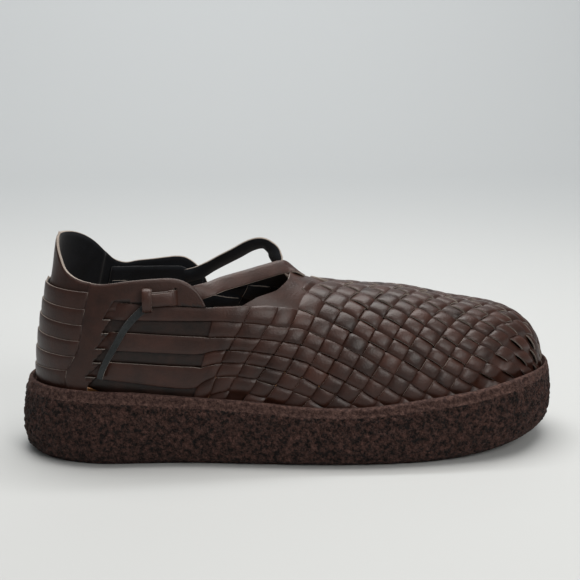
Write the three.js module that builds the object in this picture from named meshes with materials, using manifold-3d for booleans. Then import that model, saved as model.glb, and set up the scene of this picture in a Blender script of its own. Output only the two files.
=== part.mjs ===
// A woven leather slip-on for the right foot, standing on its sole. Millimetres, toe at +X, inner side
// of the foot at +Y, +Z up. Every leather piece is worked out from one last, and the sole from its outline.
import * as THREE from "three";
import { mergeVertices } from "three/addons/utils/BufferGeometryUtils.js";
import Module from "manifold-3d";

const wasm = await Module();
wasm.setup();

// Driving sizes
const HEEL_X = -141; // back of the last
const HEEL_LENGTH = 44; // how far the round of the heel reaches forward
const HEEL_POWER = 2.1;
const TOE_X = 145; // tip of the last
const TOE_LENGTH = 60;
const TOE_WIDTH_POWER = 2.4; // round toe seen from above
const TOE_HEIGHT_POWER = 4; // blunt toe seen from the side
const LEAN_START = 44; // height where the heel begins to lean forward
const LEAN_SPAN = 72;
const LEAN = 14; // how far it leans over that span
const LEATHER = 1.6;
const STRIP_RISE = 1.3; // how far a strip stands proud where it passes over another
const STRIP_DIP = 0.1; // and where it goes down to pass under
const GAP = 0.3; // between pieces that touch
const INSOLE = 3.6;
const CROWN_GIRTH = 98.5; // girth from ridge to ground line over the vamp
const TAU = Math.PI / 2;

// The last: half widths to the outer and inner side, middle line, root of the section, its peak,
// the powers that round its side and top, the line where the upper meets the footbed, the sole's rim.
const LAST = [
  { x: -141, outer: 31, inner: 31, mid: 0, root: 24, peak: 165, side: 2.2, top: 2.4, foot: 36, rim: 41 },
  { x: -100, outer: 33, inner: 32, mid: 0, root: 23, peak: 160, side: 2.3, top: 2.4, foot: 35.6, rim: 40.4 },
  { x: -60, outer: 34.5, inner: 32, mid: 0.5, root: 20, peak: 140, side: 2.3, top: 2.3, foot: 32.4, rim: 37 },
  { x: -25, outer: 39, inner: 34, mid: 1, root: 17, peak: 112, side: 2.2, top: 2.2, foot: 30, rim: 34.8 },
  { x: 5, outer: 43.5, inner: 38.5, mid: 2, root: 14, peak: 92, side: 2.2, top: 2.1, foot: 27, rim: 32 },
  { x: 35, outer: 46.5, inner: 43, mid: 3, root: 12, peak: 86.4, side: 2.3, top: 2.1, foot: 26.6, rim: 31.8 },
  { x: 65, outer: 46, inner: 44, mid: 3.5, root: 12, peak: 83.5, side: 2.4, top: 2.1, foot: 29.6, rim: 34.8 },
  { x: 95, outer: 43, inner: 42, mid: 4.5, root: 14, peak: 77, side: 2.4, top: 2.1, foot: 33, rim: 38 },
  { x: 125, outer: 38, inner: 38, mid: 6, root: 17, peak: 73, side: 2.4, top: 2.1, foot: 37, rim: 42 },
  { x: 150, outer: 34, inner: 34, mid: 8, root: 18, peak: 69, side: 2.4, top: 2.1, foot: 39, rim: 44 },
];

// How many strips lie between the origin and a place on the vamp, for the family that climbs towards the
// toe on the outer side, as a sum of powers of its way along the shoe and its girth from the ridge, both in
// tenths of a metre. The other family is its mirror image.
const STRIP_LAW = [
  { way: 0, girth: 0, count: -0.08 },
  { way: 0, girth: 1, count: 5.23 },
  { way: 0, girth: 2, count: -4.86 },
  { way: 0, girth: 3, count: 3.08 },
  { way: 0, girth: 4, count: 2.86 },
  { way: 1, girth: 0, count: 4.87 },
  { way: 1, girth: 1, count: 7.37 },
  { way: 1, girth: 2, count: 2.83 },
  { way: 1, girth: 3, count: -6.82 },
  { way: 2, girth: 0, count: 3.19 },
  { way: 2, girth: 1, count: -3.85 },
  { way: 2, girth: 2, count: -2.25 },
  { way: 3, girth: 0, count: -1.69 },
  { way: 3, girth: 1, count: 2.86 },
  { way: 4, girth: 0, count: 0.17 },
];
const RIDGE_SUM = -3; // the two strip numbers add up to this on the ridge
const FIRST_STRIP = -2; // the strip that closes the vamp at its rear, on either side
const LAST_FALL = RIDGE_SUM - FIRST_STRIP; // and the same one of the family that falls towards the toe
const NOSE_START = 100; // from here the way is measured round the toe's ridge line
const NOSE_CELL = 4; // how far below the footbed's line the last cells of the weave may lie

// Edges of the six side straps, from the top: where it leaves the vamp and its height there, its height at
// the counter, and where the slit for the strap below it starts at its top and ends at its bottom.
const STRAP_EDGES = [
  { vampX: -19, vamp: 83.8, slit: 87.8, slitX: -97, slitEnd: -102.6 },
  { vampX: -25, vamp: 73.8, slit: 78.6, slitX: -98.4, slitEnd: -103.4 },
  { vampX: -37.8, vamp: 70.6, slit: 71.4, slitX: -99.7, slitEnd: -106.9 },
  { vampX: -39.2, vamp: 61.6, slit: 62.9, slitX: -101.7, slitEnd: -108.8 },
  { vampX: -40.6, vamp: 55.6, slit: 55.4, slitX: -104, slitEnd: -113 },
  { vampX: -42, vamp: 46.8, slit: 47.4, slitX: -107.5, slitEnd: -112 },
  { vampX: -43.4, vamp: 38.8, slit: 40.6, slitX: -111, slitEnd: -111 },
];
const STRAP_BEND_X = -42; // behind this they turn towards their height at the counter
const STRAP_TUCK = 7; // how far they run on under the counter

// Top edges of the six bands round the heel, and the bottom edge of the last one.
const BAND_EDGES = [
  { back: 93, slit: 91.5 },
  { back: 84, slit: 82.5 },
  { back: 76, slit: 74 },
  { back: 67, slit: 65.5 },
  { back: 57.5, slit: 57 },
  { back: 47.5, slit: 49 },
  { back: 37.4, slit: 37.2 },
];
const BAND_END_X = -117; // where the upper bands come out of the counter
const BAND_END_SHIFT = 6; // and how much nearer the back the lowest one does

// Top line of the counter on either side, by the turn from the middle of the heel.
const COUNTER_TOP = [
  { turn: 0, outer: 118.8, inner: 118.8 },
  { turn: 0.1, outer: 117.4, inner: 119.2 },
  { turn: 0.2, outer: 113.2, inner: 119 },
  { turn: 0.3, outer: 108.3, inner: 118.4 },
  { turn: 0.4, outer: 103, inner: 117 },
  { turn: 0.5, outer: 100, inner: 114.6 },
  { turn: 0.6, outer: 98.1, inner: 110.8 },
  { turn: 0.7, outer: 97.1, inner: 105.4 },
  { turn: 0.8, outer: 96.7, inner: 99.8 },
  { turn: 0.9, outer: 97.4, inner: 97.6 },
  { turn: 1, outer: 98.4, inner: 98.6 },
  { turn: 1.2, outer: 99.1, inner: 99.5 },
  { turn: 1.4, outer: 99.4, inner: 100.6 },
  { turn: 1.5, outer: 99.3, inner: 101 },
  { turn: 1.6, outer: 98.1, inner: 100.2 },
  { turn: 1.7, outer: 94.6, inner: 96 },
  { turn: 1.76, outer: 90.4, inner: 91.2 },
  { turn: 1.81, outer: 84, inner: 84.2 },
  { turn: 1.86, outer: 76, inner: 76 },
];
const WING_X = -48.6; // front end of the counter's wings, over the top straps

// The slot in each wing, which the instep strap comes out of
const SLOT = { x: -63.5, z: 89.5, width: 2.6, height: 9.4 };

// Instep straps: centre line over the throat, the same height at the wing for both
const STRAP_WIDTH = 7.6;
const STRAP_PATHS = {
  lateral: [
    { x: 7, y: 12, z: 97 },
    { x: 0, y: 5, z: 101 },
    { x: -8, y: -2, z: 102.4 },
    { x: -18, y: -10.5, z: 100.6 },
    { x: -30, y: -19, z: 97.4 },
    { x: -43, y: -26.2, z: 94.6 },
  ],
  medial: [
    { x: 6, y: -6, z: 97.2 },
    { x: -1, y: 0, z: 98.6 },
    { x: -8, y: 6, z: 100.6 },
    { x: -16, y: 12, z: 108 },
    { x: -25, y: 17, z: 110 },
    { x: -36, y: 22.5, z: 103 },
    { x: -45, y: 26.6, z: 96.4 },
  ],
};
const KNOT = { x: -81, z: 88.6, height: 6, depth: 4 };
const TAIL = { x: -106, z: 47, width: 3.2 };

// Throat of the vamp seen from the side, from the ridge down to the top side strap.
const THROAT = [
  { x: 0, z: 99 },
  { x: -4, z: 93.5 },
  { x: -11, z: 89.5 },
  { x: -21, z: 87.6 },
  { x: -28, z: 84.4 },
  { x: -34, z: 81 },
];

// Sole: how far each ring stands outside the last, and its height as a share of ground to rim.
const SOLE_RINGS = [
  { out: 5.5, share: 0 },
  { out: 9.6, share: 0.09 },
  { out: 11.4, share: 0.3 },
  { out: 11, share: 0.55 },
  { out: 9, share: 0.86 },
  { out: 7.8, share: 0.91 },
  { out: 7.2, share: 1 },
];
const TOE_TRIM = 0.37; // how much of that stand-off the toe gives up
const SPRING_START = 58; // toe spring begins here
const SPRING = 10; // height of the sole's underside at the toe
const SOLE_STATIONS = 44; // along each side

// Reading a table by x or another of its columns, with a smooth curve through the rows
function read(rows, x, column, by = "x") {
  const last = rows.length - 1;
  const at = THREE.MathUtils.clamp(x, rows[0][by], rows[last][by]);
  let i = 0;
  while (i < last - 1 && rows[i + 1][by] < at) i++;
  const slope = (k) => {
    const a = rows[Math.max(k - 1, 0)];
    const b = rows[Math.min(k + 1, last)];
    return (b[column] - a[column]) / (b[by] - a[by]);
  };
  const span = rows[i + 1][by] - rows[i][by];
  const t = (at - rows[i][by]) / span;
  const bend = t * t * (3 - 2 * t);
  return (
    rows[i][column] * (1 - bend) + rows[i + 1][column] * bend +
    span * slope(i) * t * (1 - t) * (1 - t) - span * slope(i + 1) * t * t * (1 - t)
  );
}

const smooth = (t) => {
  const c = THREE.MathUtils.clamp(t, 0, 1);
  return c * c * (3 - 2 * c);
};

// How far the heel leans forward at a height
function lean(x, z) {
  const rise = THREE.MathUtils.clamp((z - LEAN_START) / LEAN_SPAN, 0, 2);
  return LEAN * rise ** 1.5 * smooth((-60 - x) / 50);
}

// The last's section at a station: widths, root and height, closed at heel and toe
function section(x) {
  const heel = THREE.MathUtils.clamp((HEEL_X + HEEL_LENGTH - x) / HEEL_LENGTH, 0, 1);
  const toe = THREE.MathUtils.clamp((x - TOE_X + TOE_LENGTH) / TOE_LENGTH, 0, 1);
  const ends =
    (1 - heel ** HEEL_POWER) ** (1 / HEEL_POWER) *
    (1 - toe ** TOE_WIDTH_POWER) ** (1 / TOE_WIDTH_POWER);
  const root = read(LAST, x, "root");
  return {
    outer: read(LAST, x, "outer") * ends,
    inner: read(LAST, x, "inner") * ends,
    centre: read(LAST, x, "mid"),
    root,
    height: (read(LAST, x, "peak") - root) * (1 - toe ** TOE_HEIGHT_POWER) ** (1 / TOE_HEIGHT_POWER),
    side: read(LAST, x, "side"),
    top: read(LAST, x, "top"),
  };
}

// 1 on the last, less inside it, more outside
function level(x, y, z) {
  const s = section(x - lean(x, z));
  const half = Math.max(y < s.centre ? s.outer : s.inner, 1e-3);
  const rise = Math.max(z - s.root, 0) / Math.max(s.height, 1e-3);
  return (Math.abs(y - s.centre) / half) ** s.side + rise ** s.top;
}

// A point of the last moved outwards by a distance
function raise(x, y, z, distance) {
  const step = 0.05;
  const normal = new THREE.Vector3(
    level(x + step, y, z) - level(x - step, y, z),
    level(x, y + step, z) - level(x, y - step, z),
    level(x, y, z + step) - level(x, y, z - step),
  ).normalize();
  return new THREE.Vector3(x, y, z).addScaledVector(normal, distance);
}

// A point on the side wall: side is -1 on the outer side of the foot and 1 on the inner side
function sidePoint(station, z, side, distance) {
  const s = section(station);
  const rise = THREE.MathUtils.clamp((z - s.root) / s.height, 0, 1);
  const half = (side < 0 ? s.outer : s.inner) * (1 - rise ** s.top) ** (1 / s.side);
  return raise(station + lean(station, z), s.centre + side * half, z, distance);
}

// A station round the heel: 0 at the back, 1 where the round ends, then one unit for each 60 mm
function heelStation(turn) {
  const t = Math.max(Math.abs(turn), 0.002);
  if (t >= 1) return HEEL_X + HEEL_LENGTH + (t - 1) * 60;
  return HEEL_X + HEEL_LENGTH * (1 - Math.cos(t * TAU) ** (2 / HEEL_POWER));
}

// The section's quarter curve, with the girth from the ridge at each step
function quarter(x, side) {
  const s = section(x);
  const half = side < 0 ? s.outer : s.inner;
  const steps = 48;
  const points = [];
  for (let k = 0; k <= steps; k++) {
    const angle = (k / steps) * TAU;
    const out = half * Math.sin(angle) ** (2 / s.side);
    const up = s.height * Math.cos(angle) ** (2 / s.top);
    const before = points[k - 1];
    const girth = before ? before.girth + Math.hypot(out - before.out, up - before.up) : 0;
    points.push({ out, up, girth });
  }
  return { points, total: points[steps].girth, centre: s.centre, root: s.root };
}

// The nose's ridge line: x and the way along it, down to the tip of the last
function noseRows() {
  const steps = 200;
  const share = (NOSE_START - TOE_X + TOE_LENGTH) / TOE_LENGTH;
  const first = Math.asin(share ** (TOE_HEIGHT_POWER / 2));
  const rows = [];
  for (let k = 0; k <= steps; k++) {
    const angle = first + (TAU - first) * (k / steps);
    const x = TOE_X - TOE_LENGTH + TOE_LENGTH * Math.sin(angle) ** (2 / TOE_HEIGHT_POWER);
    const { root, height } = section(x);
    const z = root + height;
    const before = rows[k - 1];
    rows.push({ x, z, way: before ? before.way + Math.hypot(x - before.x, z - before.z) : NOSE_START });
  }
  return rows;
}

const nose = noseRows();

function xOfWay(way) {
  if (way <= NOSE_START) return way;
  let k = 1;
  while (k < nose.length - 1 && nose[k].way < way) k++;
  const t = Math.min((way - nose[k - 1].way) / (nose[k].way - nose[k - 1].way), 1);
  return Math.min(nose[k - 1].x + t * (nose[k].x - nose[k - 1].x), TOE_X - 0.05);
}

// A point of the vamp by its way along the shoe and its girth from the ridge, outer side positive
function vampPoint(place, distance) {
  const side = place.girth > 0 ? -1 : 1;
  const x = xOfWay(place.way);
  const q = quarter(x, side);
  const wanted = Math.abs(place.girth) + Math.max(q.total - CROWN_GIRTH, 0);
  const girth = THREE.MathUtils.clamp(wanted, 0, q.total * 0.995);
  let k = 1;
  while (k < q.points.length - 1 && q.points[k].girth < girth) k++;
  const a = q.points[k - 1];
  const b = q.points[k];
  const t = (girth - a.girth) / (b.girth - a.girth);
  const out = a.out + t * (b.out - a.out);
  const up = a.up + t * (b.up - a.up);
  return raise(x, q.centre + side * out, q.root + up, distance);
}

// The station where the bands end at a height
function bandEnd(z) {
  return BAND_END_X - BAND_END_SHIFT * smooth((64 - z) / 18);
}

// The turn of the heel at a station, the reverse of heelStation
function turnAt(station) {
  const cosine = THREE.MathUtils.clamp(1 - (station - HEEL_X) / HEEL_LENGTH, 0, 1);
  return Math.acos(cosine ** (HEEL_POWER / 2)) / TAU;
}

// Closed meshes from triangles, and manifold solids from those
function solidFrom(triangles) {
  const geometry = new THREE.BufferGeometry();
  const numbers = triangles.flatMap((p) => [p.x, p.y, p.z]);
  geometry.setAttribute("position", new THREE.Float32BufferAttribute(numbers, 3));
  const merged = mergeVertices(geometry, 1e-3);
  const solid = new wasm.Manifold(
    new wasm.Mesh({
      numProp: 3,
      vertProperties: new Float32Array(merged.attributes.position.array),
      triVerts: new Uint32Array(merged.index.array),
    }),
  );
  return solid.volume() < 0 ? solidFrom(triangles.toReversed()) : solid;
}

// A sheet with thickness from two grids of points of the same size
function sheetSolid(front, back) {
  const triangles = [];
  const rows = front.length - 1;
  const columns = front[0].length - 1;
  const quad = (a, b, c, d) => triangles.push(a, b, c, a, c, d);
  for (let r = 0; r < rows; r++) {
    for (let c = 0; c < columns; c++) {
      quad(front[r][c], front[r + 1][c], front[r + 1][c + 1], front[r][c + 1]);
      quad(back[r][c], back[r][c + 1], back[r + 1][c + 1], back[r + 1][c]);
    }
    quad(front[r][0], back[r][0], back[r + 1][0], front[r + 1][0]);
    quad(front[r + 1][columns], back[r + 1][columns], back[r][columns], front[r][columns]);
  }
  for (let c = 0; c < columns; c++) {
    quad(front[0][c + 1], back[0][c + 1], back[0][c], front[0][c]);
    quad(front[rows][c], back[rows][c], back[rows][c + 1], front[rows][c + 1]);
  }
  return solidFrom(triangles);
}

// A prism across the shoe from an outline seen from the side
function crossPrism(outline, nearY, farY) {
  const shape = new THREE.Shape(outline.map((p) => new THREE.Vector2(p.x, p.z)));
  const geometry = new THREE.ExtrudeGeometry(shape, { depth: farY - nearY, bevelEnabled: false, steps: 1 });
  geometry.rotateX(TAU);
  geometry.translate(0, farY, 0);
  const position = geometry.getAttribute("position");
  const point = (k) => new THREE.Vector3().fromBufferAttribute(position, k);
  return solidFrom(Array.from({ length: position.count }, (_, k) => point(k)));
}

// Where two strips cross: the law counts one family, and its mirror image the other
function stripCount(way, girth) {
  return STRIP_LAW.reduce((sum, t) => sum + t.count * (way / 100) ** t.way * (girth / 100) ** t.girth, 0);
}

function crossing(i, j, guess) {
  let { way, girth } = guess;
  for (let k = 0; k < 30; k++) {
    const miss = [stripCount(way, girth) - i, stripCount(way, -girth) + j - RIDGE_SUM];
    const step = 0.01;
    const aw = (stripCount(way + step, girth) - stripCount(way - step, girth)) / (2 * step);
    const ag = (stripCount(way, girth + step) - stripCount(way, girth - step)) / (2 * step);
    const bw = (stripCount(way + step, -girth) - stripCount(way - step, -girth)) / (2 * step);
    const bg = (stripCount(way, -girth - step) - stripCount(way, -girth + step)) / (2 * step);
    const det = aw * bg - ag * bw;
    const dw = (-miss[0] * bg + miss[1] * ag) / det;
    const dg = (miss[0] * bw - miss[1] * aw) / det;
    const pace = Math.min(1, 8 / Math.hypot(dw, dg));
    way += dw * pace;
    girth += dg * pace;
    if (Math.hypot(dw, dg) < 1e-4) return { way, girth };
  }
  return null;
}

// All crossings of the outer half, walked outwards from the middle of the vamp
function crossings() {
  const found = new Map();
  const key = (i, j) => i + "," + j;
  const middle = { way: 26, girth: 47 };
  const wayLimit = nose.at(-1).way - 1;
  const queue = [[4, 0, middle]];
  while (queue.length) {
    const [i, j, guess] = queue.shift();
    if (found.has(key(i, j)) || i + j < RIDGE_SUM || i < FIRST_STRIP || j > 7) continue;
    const at = crossing(i, j, guess);
    if (!at || at.way > wayLimit || at.girth > 112 || at.girth < -30) continue;
    found.set(key(i, j), at);
    for (const [di, dj] of [[1, 0], [-1, 0], [0, 1], [0, -1]]) queue.push([i + di, j + dj, at]);
  }
  return (i, j) => {
    if (i + j >= RIDGE_SUM) return found.get(key(i, j));
    const twin = found.get(key(RIDGE_SUM - j, RIDGE_SUM - i));
    return twin && { way: twin.way, girth: -twin.girth };
  };
}

// The woven wall: each cell of the weave is a bridge of one strip over the other
function wovenVamp() {
  const corner = crossings();
  const cells = new Map();
  const key = (i, j) => i + "," + j;
  for (let i = -14; i < 22; i++) {
    for (let j = -22; j < 8; j++) {
      const beyond = i < FIRST_STRIP && j >= LAST_FALL;
      const overThroat = i >= FIRST_STRIP - 1 && i <= FIRST_STRIP && j >= LAST_FALL - 1 && j <= LAST_FALL;
      if (beyond || overThroat) continue;
      const corners = [corner(i, j), corner(i + 1, j), corner(i + 1, j + 1), corner(i, j + 1)];
      if (corners.some((c) => !c)) continue;
      const seen = corners.map((c) => vampPoint(c, 0)).some((p) => p.z > read(LAST, p.x, "foot") - NOSE_CELL);
      if (seen) cells.set(key(i, j), bridge(i, j, corners));
    }
  }
  const triangles = [];
  const inner = new Map();
  const innerPoint = (i, j) => {
    if (!inner.has(key(i, j))) inner.set(key(i, j), vampPoint(corner(i, j), 0));
    return inner.get(key(i, j));
  };
  for (const [name, cell] of cells) {
    const [i, j] = name.split(",").map(Number);
    triangles.push(...cell.top);
    triangles.push(innerPoint(i, j), innerPoint(i + 1, j + 1), innerPoint(i + 1, j));
    triangles.push(innerPoint(i, j), innerPoint(i, j + 1), innerPoint(i + 1, j + 1));
    const right = cells.get(key(i + 1, j));
    const above = cells.get(key(i, j + 1));
    triangles.push(...zip(right ? right.low : [innerPoint(i + 1, j), innerPoint(i + 1, j + 1)], cell.high));
    triangles.push(...zip(cell.far, above ? above.near : [innerPoint(i, j + 1), innerPoint(i + 1, j + 1)]));
    const below = [innerPoint(i, j), innerPoint(i + 1, j)];
    const left = [innerPoint(i, j), innerPoint(i, j + 1)];
    if (!cells.has(key(i - 1, j))) triangles.push(...zip(cell.low, left));
    if (!cells.has(key(i, j - 1))) triangles.push(...zip(below, cell.near));
  }
  for (let i = -14; i < 23; i++)
    for (let j = -22; j < 9; j++) triangles.push(...knot(cells, key, i, j, corner(i, j) && innerPoint));
  return solidFrom(triangles);
}

// One cell: six points along the strip on top, high in the middle and at its sides, low at its ends
function bridge(i, j, corners) {
  const plain = i <= 0 && i >= FIRST_STRIP && j >= RIDGE_SUM - 1 && j <= RIDGE_SUM - 1 - FIRST_STRIP;
  const along = (i + j) % 2 !== 0;
  const margin = 0.07;
  const place = (u, v) => {
    const mix = (name) =>
      (corners[0][name] * (1 - u) + corners[1][name] * u) * (1 - v) +
      (corners[3][name] * (1 - u) + corners[2][name] * u) * v;
    return { way: mix("way"), girth: mix("girth") };
  };
  const rise = (t) => (plain ? 0.7 : t === 0.5 ? STRIP_RISE : STRIP_DIP);
  const at = (t, edge) => {
    const p = along ? place(t, edge) : place(edge, t);
    return vampPoint(p, LEATHER + rise(t));
  };
  const run = [margin, 0.5, 1 - margin];
  const first = run.map((t) => at(t, margin));
  const second = run.map((t) => at(t, 1 - margin));
  const ends = [[first[0], second[0]], [first[2], second[2]]];
  const turn = (a, b, c, d) => (along ? [a, b, c, a, c, d] : [a, d, c, a, c, b]);
  return {
    top: [
      ...turn(first[0], first[1], second[1], second[0]),
      ...turn(first[1], first[2], second[2], second[1]),
    ],
    low: along ? ends[0] : first,
    high: along ? ends[1] : second,
    near: along ? first : ends[0],
    far: along ? second : ends[1],
  };
}

// Triangles between two chains of points that run the same way
function zip(a, b) {
  const triangles = [];
  let i = 0;
  let j = 0;
  while (i < a.length - 1 || j < b.length - 1) {
    const behind = (i + 1) / (a.length - 1) <= (j + 1) / (b.length - 1);
    const stepA = j === b.length - 1 || (i < a.length - 1 && behind);
    triangles.push(a[i], stepA ? a[i + 1] : b[j + 1], b[j]);
    if (stepA) i++;
    else j++;
  }
  return triangles;
}

// The small patch where four cells meet, or where the sheet's edge turns
function knot(cells, key, i, j, innerPoint) {
  const around = [
    [cells.get(key(i, j)), (c) => c.near[0]],
    [cells.get(key(i - 1, j)), (c) => c.near.at(-1)],
    [cells.get(key(i - 1, j - 1)), (c) => c.far.at(-1)],
    [cells.get(key(i, j - 1)), (c) => c.far[0]],
  ];
  const present = around.filter(([cell]) => cell);
  if (present.length < 2 || !innerPoint) return [];
  if (present.length === 4) {
    const p = around.map(([cell, pick]) => pick(cell));
    return [p[0], p[1], p[2], p[0], p[2], p[3]];
  }
  const missing = around.findIndex(([cell], k) => !cell && around[(k + 1) % 4][0]);
  const p = [innerPoint(i, j)];
  for (let k = 1; k < 4; k++) {
    const [cell, pick] = around[(missing + k) % 4];
    if (cell) p.push(pick(cell));
  }
  const triangles = [];
  for (let k = 1; k < p.length - 1; k++) triangles.push(p[0], p[k], p[k + 1]);
  return triangles;
}

// The six straps of one side as a wall with alternate straps raised
function sideStraps(side) {
  const stations = 9;
  const front = [];
  const back = [];
  for (let k = 0; k <= stations; k++) {
    const run = k / stations;
    const outside = [];
    const inside = [];
    STRAP_EDGES.forEach((edge, row) => {
      const end = edge.slitX - STRAP_TUCK;
      const x = edge.vampX + (end - edge.vampX) * run;
      const z = edge.vamp + (edge.slit - edge.vamp) * smooth((x - STRAP_BEND_X) / (end - STRAP_BEND_X));
      const tucked = smooth((edge.slitX + 9 - x) / 8);
      const rise = (strap) => (strap % 2 === 0 ? (1 - tucked) * STRIP_RISE : 0);
      const step = 0.25;
      if (row > 0) {
        outside.push(sidePoint(x, z + step, side, LEATHER + rise(row - 1)));
        inside.push(sidePoint(x, z + step, side, 0));
      }
      if (row < STRAP_EDGES.length - 1) {
        outside.push(sidePoint(x, z - step, side, LEATHER + rise(row)));
        inside.push(sidePoint(x, z - step, side, 0));
      }
    });
    front.push(outside);
    back.push(inside);
  }
  return sheetSolid(front, back);
}

// The upper: woven vamp and side straps in one wall, cut at the throat and where it meets the footbed
function upper() {
  let wall = wovenVamp().add(sideStraps(-1)).add(sideStraps(1));
  const foot = LAST.map((row) => ({ x: row.x, z: row.foot + GAP }));
  const below = [{ x: -170, z: 37 }, ...foot, { x: 170, z: 40 }, { x: 170, z: -20 }, { x: -170, z: -20 }];
  wall = wall.subtract(crossPrism(below, -90, 90));
  const straps = [{ x: -36, z: 84 }, { x: -104, z: 88.4 }, { x: -120, z: 89 }];
  const open = [...THROAT, ...straps, { x: -120, z: 150 }, { x: 0, z: 150 }];
  wall = wall.subtract(crossPrism(open, -90, 90));
  return largest(wall);
}

function largest(solid) {
  return solid.decompose().sort((a, b) => b.volume() - a.volume())[0];
}

// The counter: one wall round the heel, proud over the ends of the straps and close in under the bands
function counter() {
  const turns = 34;
  const reach = COUNTER_TOP.at(-1).turn;
  const bottom = 34;
  const shares = Array.from({ length: 12 }, (_, k) => k / 11);
  const front = [];
  const back = [];
  for (let k = 0; k <= 2 * turns; k++) {
    const turn = ((k - turns) / turns) * reach;
    const side = turn < 0 ? -1 : 1;
    const station = heelStation(turn);
    const top = read(COUNTER_TOP, Math.abs(turn), side < 0 ? "outer" : "inner", "turn");
    const rows = shares.map((share) => bottom + (top - bottom) * share);
    const proud = (z) => smooth((station - bandEnd(z)) / 4) * (LEATHER + GAP + STRIP_RISE * 0.2);
    const flare = (z) => 2 * smooth((z - 96) / 24) * smooth((-112 - station) / 20);
    front.push(rows.map((z) => sidePoint(station, z, side, proud(z) + flare(z) + LEATHER)));
    back.push(rows.map((z) => sidePoint(station, z, side, proud(z) + flare(z))));
  }
  const wall = sheetSolid(front, back);
  const slits = STRAP_EDGES.slice(1).flatMap((edge, row) => [
    { x: STRAP_EDGES[row].slitX, z: STRAP_EDGES[row].slit },
    { x: STRAP_EDGES[row].slitEnd, z: edge.slit },
  ]);
  const outline = [
    { x: -150, z: 36.4 },
    { x: -113.5, z: 36.4 },
    ...slits.reverse(),
    { x: STRAP_EDGES[0].slitX + 1, z: STRAP_EDGES[0].slit + 3 * GAP },
    { x: WING_X, z: STRAP_EDGES[0].vamp + 2 * GAP },
    { x: WING_X + 6, z: STRAP_EDGES[0].vamp + 2 * GAP },
    { x: WING_X + 6, z: 130 },
    { x: -150, z: 130 },
  ];
  const slot = [
    { x: SLOT.x - SLOT.width / 2, z: SLOT.z - SLOT.height / 2 },
    { x: SLOT.x + SLOT.width / 2, z: SLOT.z - SLOT.height / 2 },
    { x: SLOT.x + SLOT.width / 2, z: SLOT.z + SLOT.height / 2 },
    { x: SLOT.x - SLOT.width / 2, z: SLOT.z + SLOT.height / 2 },
  ];
  return largest(wall.intersect(crossPrism(outline, -90, 90)).subtract(crossPrism(slot, -90, 90)));
}

// The six bands round the heel, each with its top edge proud of the one above
function heelBands() {
  const turns = 12;
  const front = [];
  const back = [];
  for (let k = 0; k <= 2 * turns; k++) {
    const share = (k - turns) / turns;
    const side = share < 0 ? -1 : 1;
    const outside = [];
    const inside = [];
    BAND_EDGES.forEach((edge, row) => {
      const z = edge.back + (edge.slit - edge.back) * smooth(Math.abs(share));
      const station = heelStation(share * turnAt(bandEnd(z) - 3 * GAP));
      const seat = LEATHER + 2.2 * GAP;
      if (row > 0) {
        outside.push(sidePoint(station, z + 0.3, side, seat + LEATHER));
        inside.push(sidePoint(station, z + 0.3, side, seat));
      }
      if (row < BAND_EDGES.length - 1) {
        outside.push(sidePoint(station, z, side, seat + LEATHER + 0.9));
        inside.push(sidePoint(station, z, side, seat));
      }
    });
    front.push(outside);
    back.push(inside);
  }
  return sheetSolid(front, back);
}

// The outline of the last at its root, from the heel along one side to the toe
function outlineStations() {
  const stations = [];
  const heelEnd = HEEL_X + HEEL_LENGTH;
  const toeStart = TOE_X - TOE_LENGTH;
  for (let k = 1; k < SOLE_STATIONS; k++) {
    const t = (k / SOLE_STATIONS) * 4.2;
    if (t < 1) stations.push(heelStation(t));
    else if (t < 3.2) stations.push(heelEnd + ((toeStart - heelEnd) * (t - 1)) / 2.2);
    else stations.push(toeStart + TOE_LENGTH * Math.sin((t - 3.2) * TAU) ** (2 / TOE_WIDTH_POWER));
  }
  return stations;
}

// Closed ring round the last at a distance from it, with a height at each place
function ring(distance, height) {
  const stations = outlineStations();
  const reach = typeof distance === "number" ? () => distance : distance;
  const edge = (x, side) => {
    const s = section(x);
    return new THREE.Vector2(x, s.centre + side * (side < 0 ? s.outer : s.inner));
  };
  const line = [
    new THREE.Vector2(HEEL_X, 0),
    ...stations.map((x) => edge(x, -1)),
    new THREE.Vector2(TOE_X, section(TOE_X).centre),
    ...stations.map((x) => edge(x, 1)).reverse(),
  ];
  return line.map((p, k) => {
    const a = line[(k + line.length - 1) % line.length];
    const b = line[(k + 1) % line.length];
    const out = new THREE.Vector2(b.y - a.y, a.x - b.x).normalize().negate();
    if (k === 0) out.set(-1, 0);
    if (k === line.length / 2) out.set(1, 0);
    const q = p.clone().addScaledVector(out, reach(p.x) * (k === 0 || k === line.length / 2 ? 1 : -1));
    return new THREE.Vector3(q.x, q.y, height(q.x));
  });
}

// A solid between a stack of rings, closed across the first and the last
function ringSolid(rings) {
  const triangles = [];
  const count = rings[0].length;
  rings.slice(1).forEach((upperRing, r) => {
    const lowerRing = rings[r];
    for (let k = 0; k < count; k++) {
      const n = (k + 1) % count;
      triangles.push(lowerRing[k], lowerRing[n], upperRing[n], lowerRing[k], upperRing[n], upperRing[k]);
    }
  });
  const cap = (points, flip) => {
    for (let k = 0; k < count / 2; k++) {
      const [a, b] = [points[k], points[k + 1]];
      const [c, d] = [points[(count - k - 1) % count], points[(count - k) % count]];
      const faces = [];
      if (k < count / 2 - 1) faces.push(a, b, c);
      if (k > 0) faces.push(a, k < count / 2 - 1 ? c : b, d);
      triangles.push(...(flip ? faces.reverse() : faces));
    }
  };
  cap(rings[0], true);
  cap(rings.at(-1), false);
  return solidFrom(triangles);
}

const ground = (x) => SPRING * Math.max((x - SPRING_START) / (TOE_X - SPRING_START), 0) ** 1.8;

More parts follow.
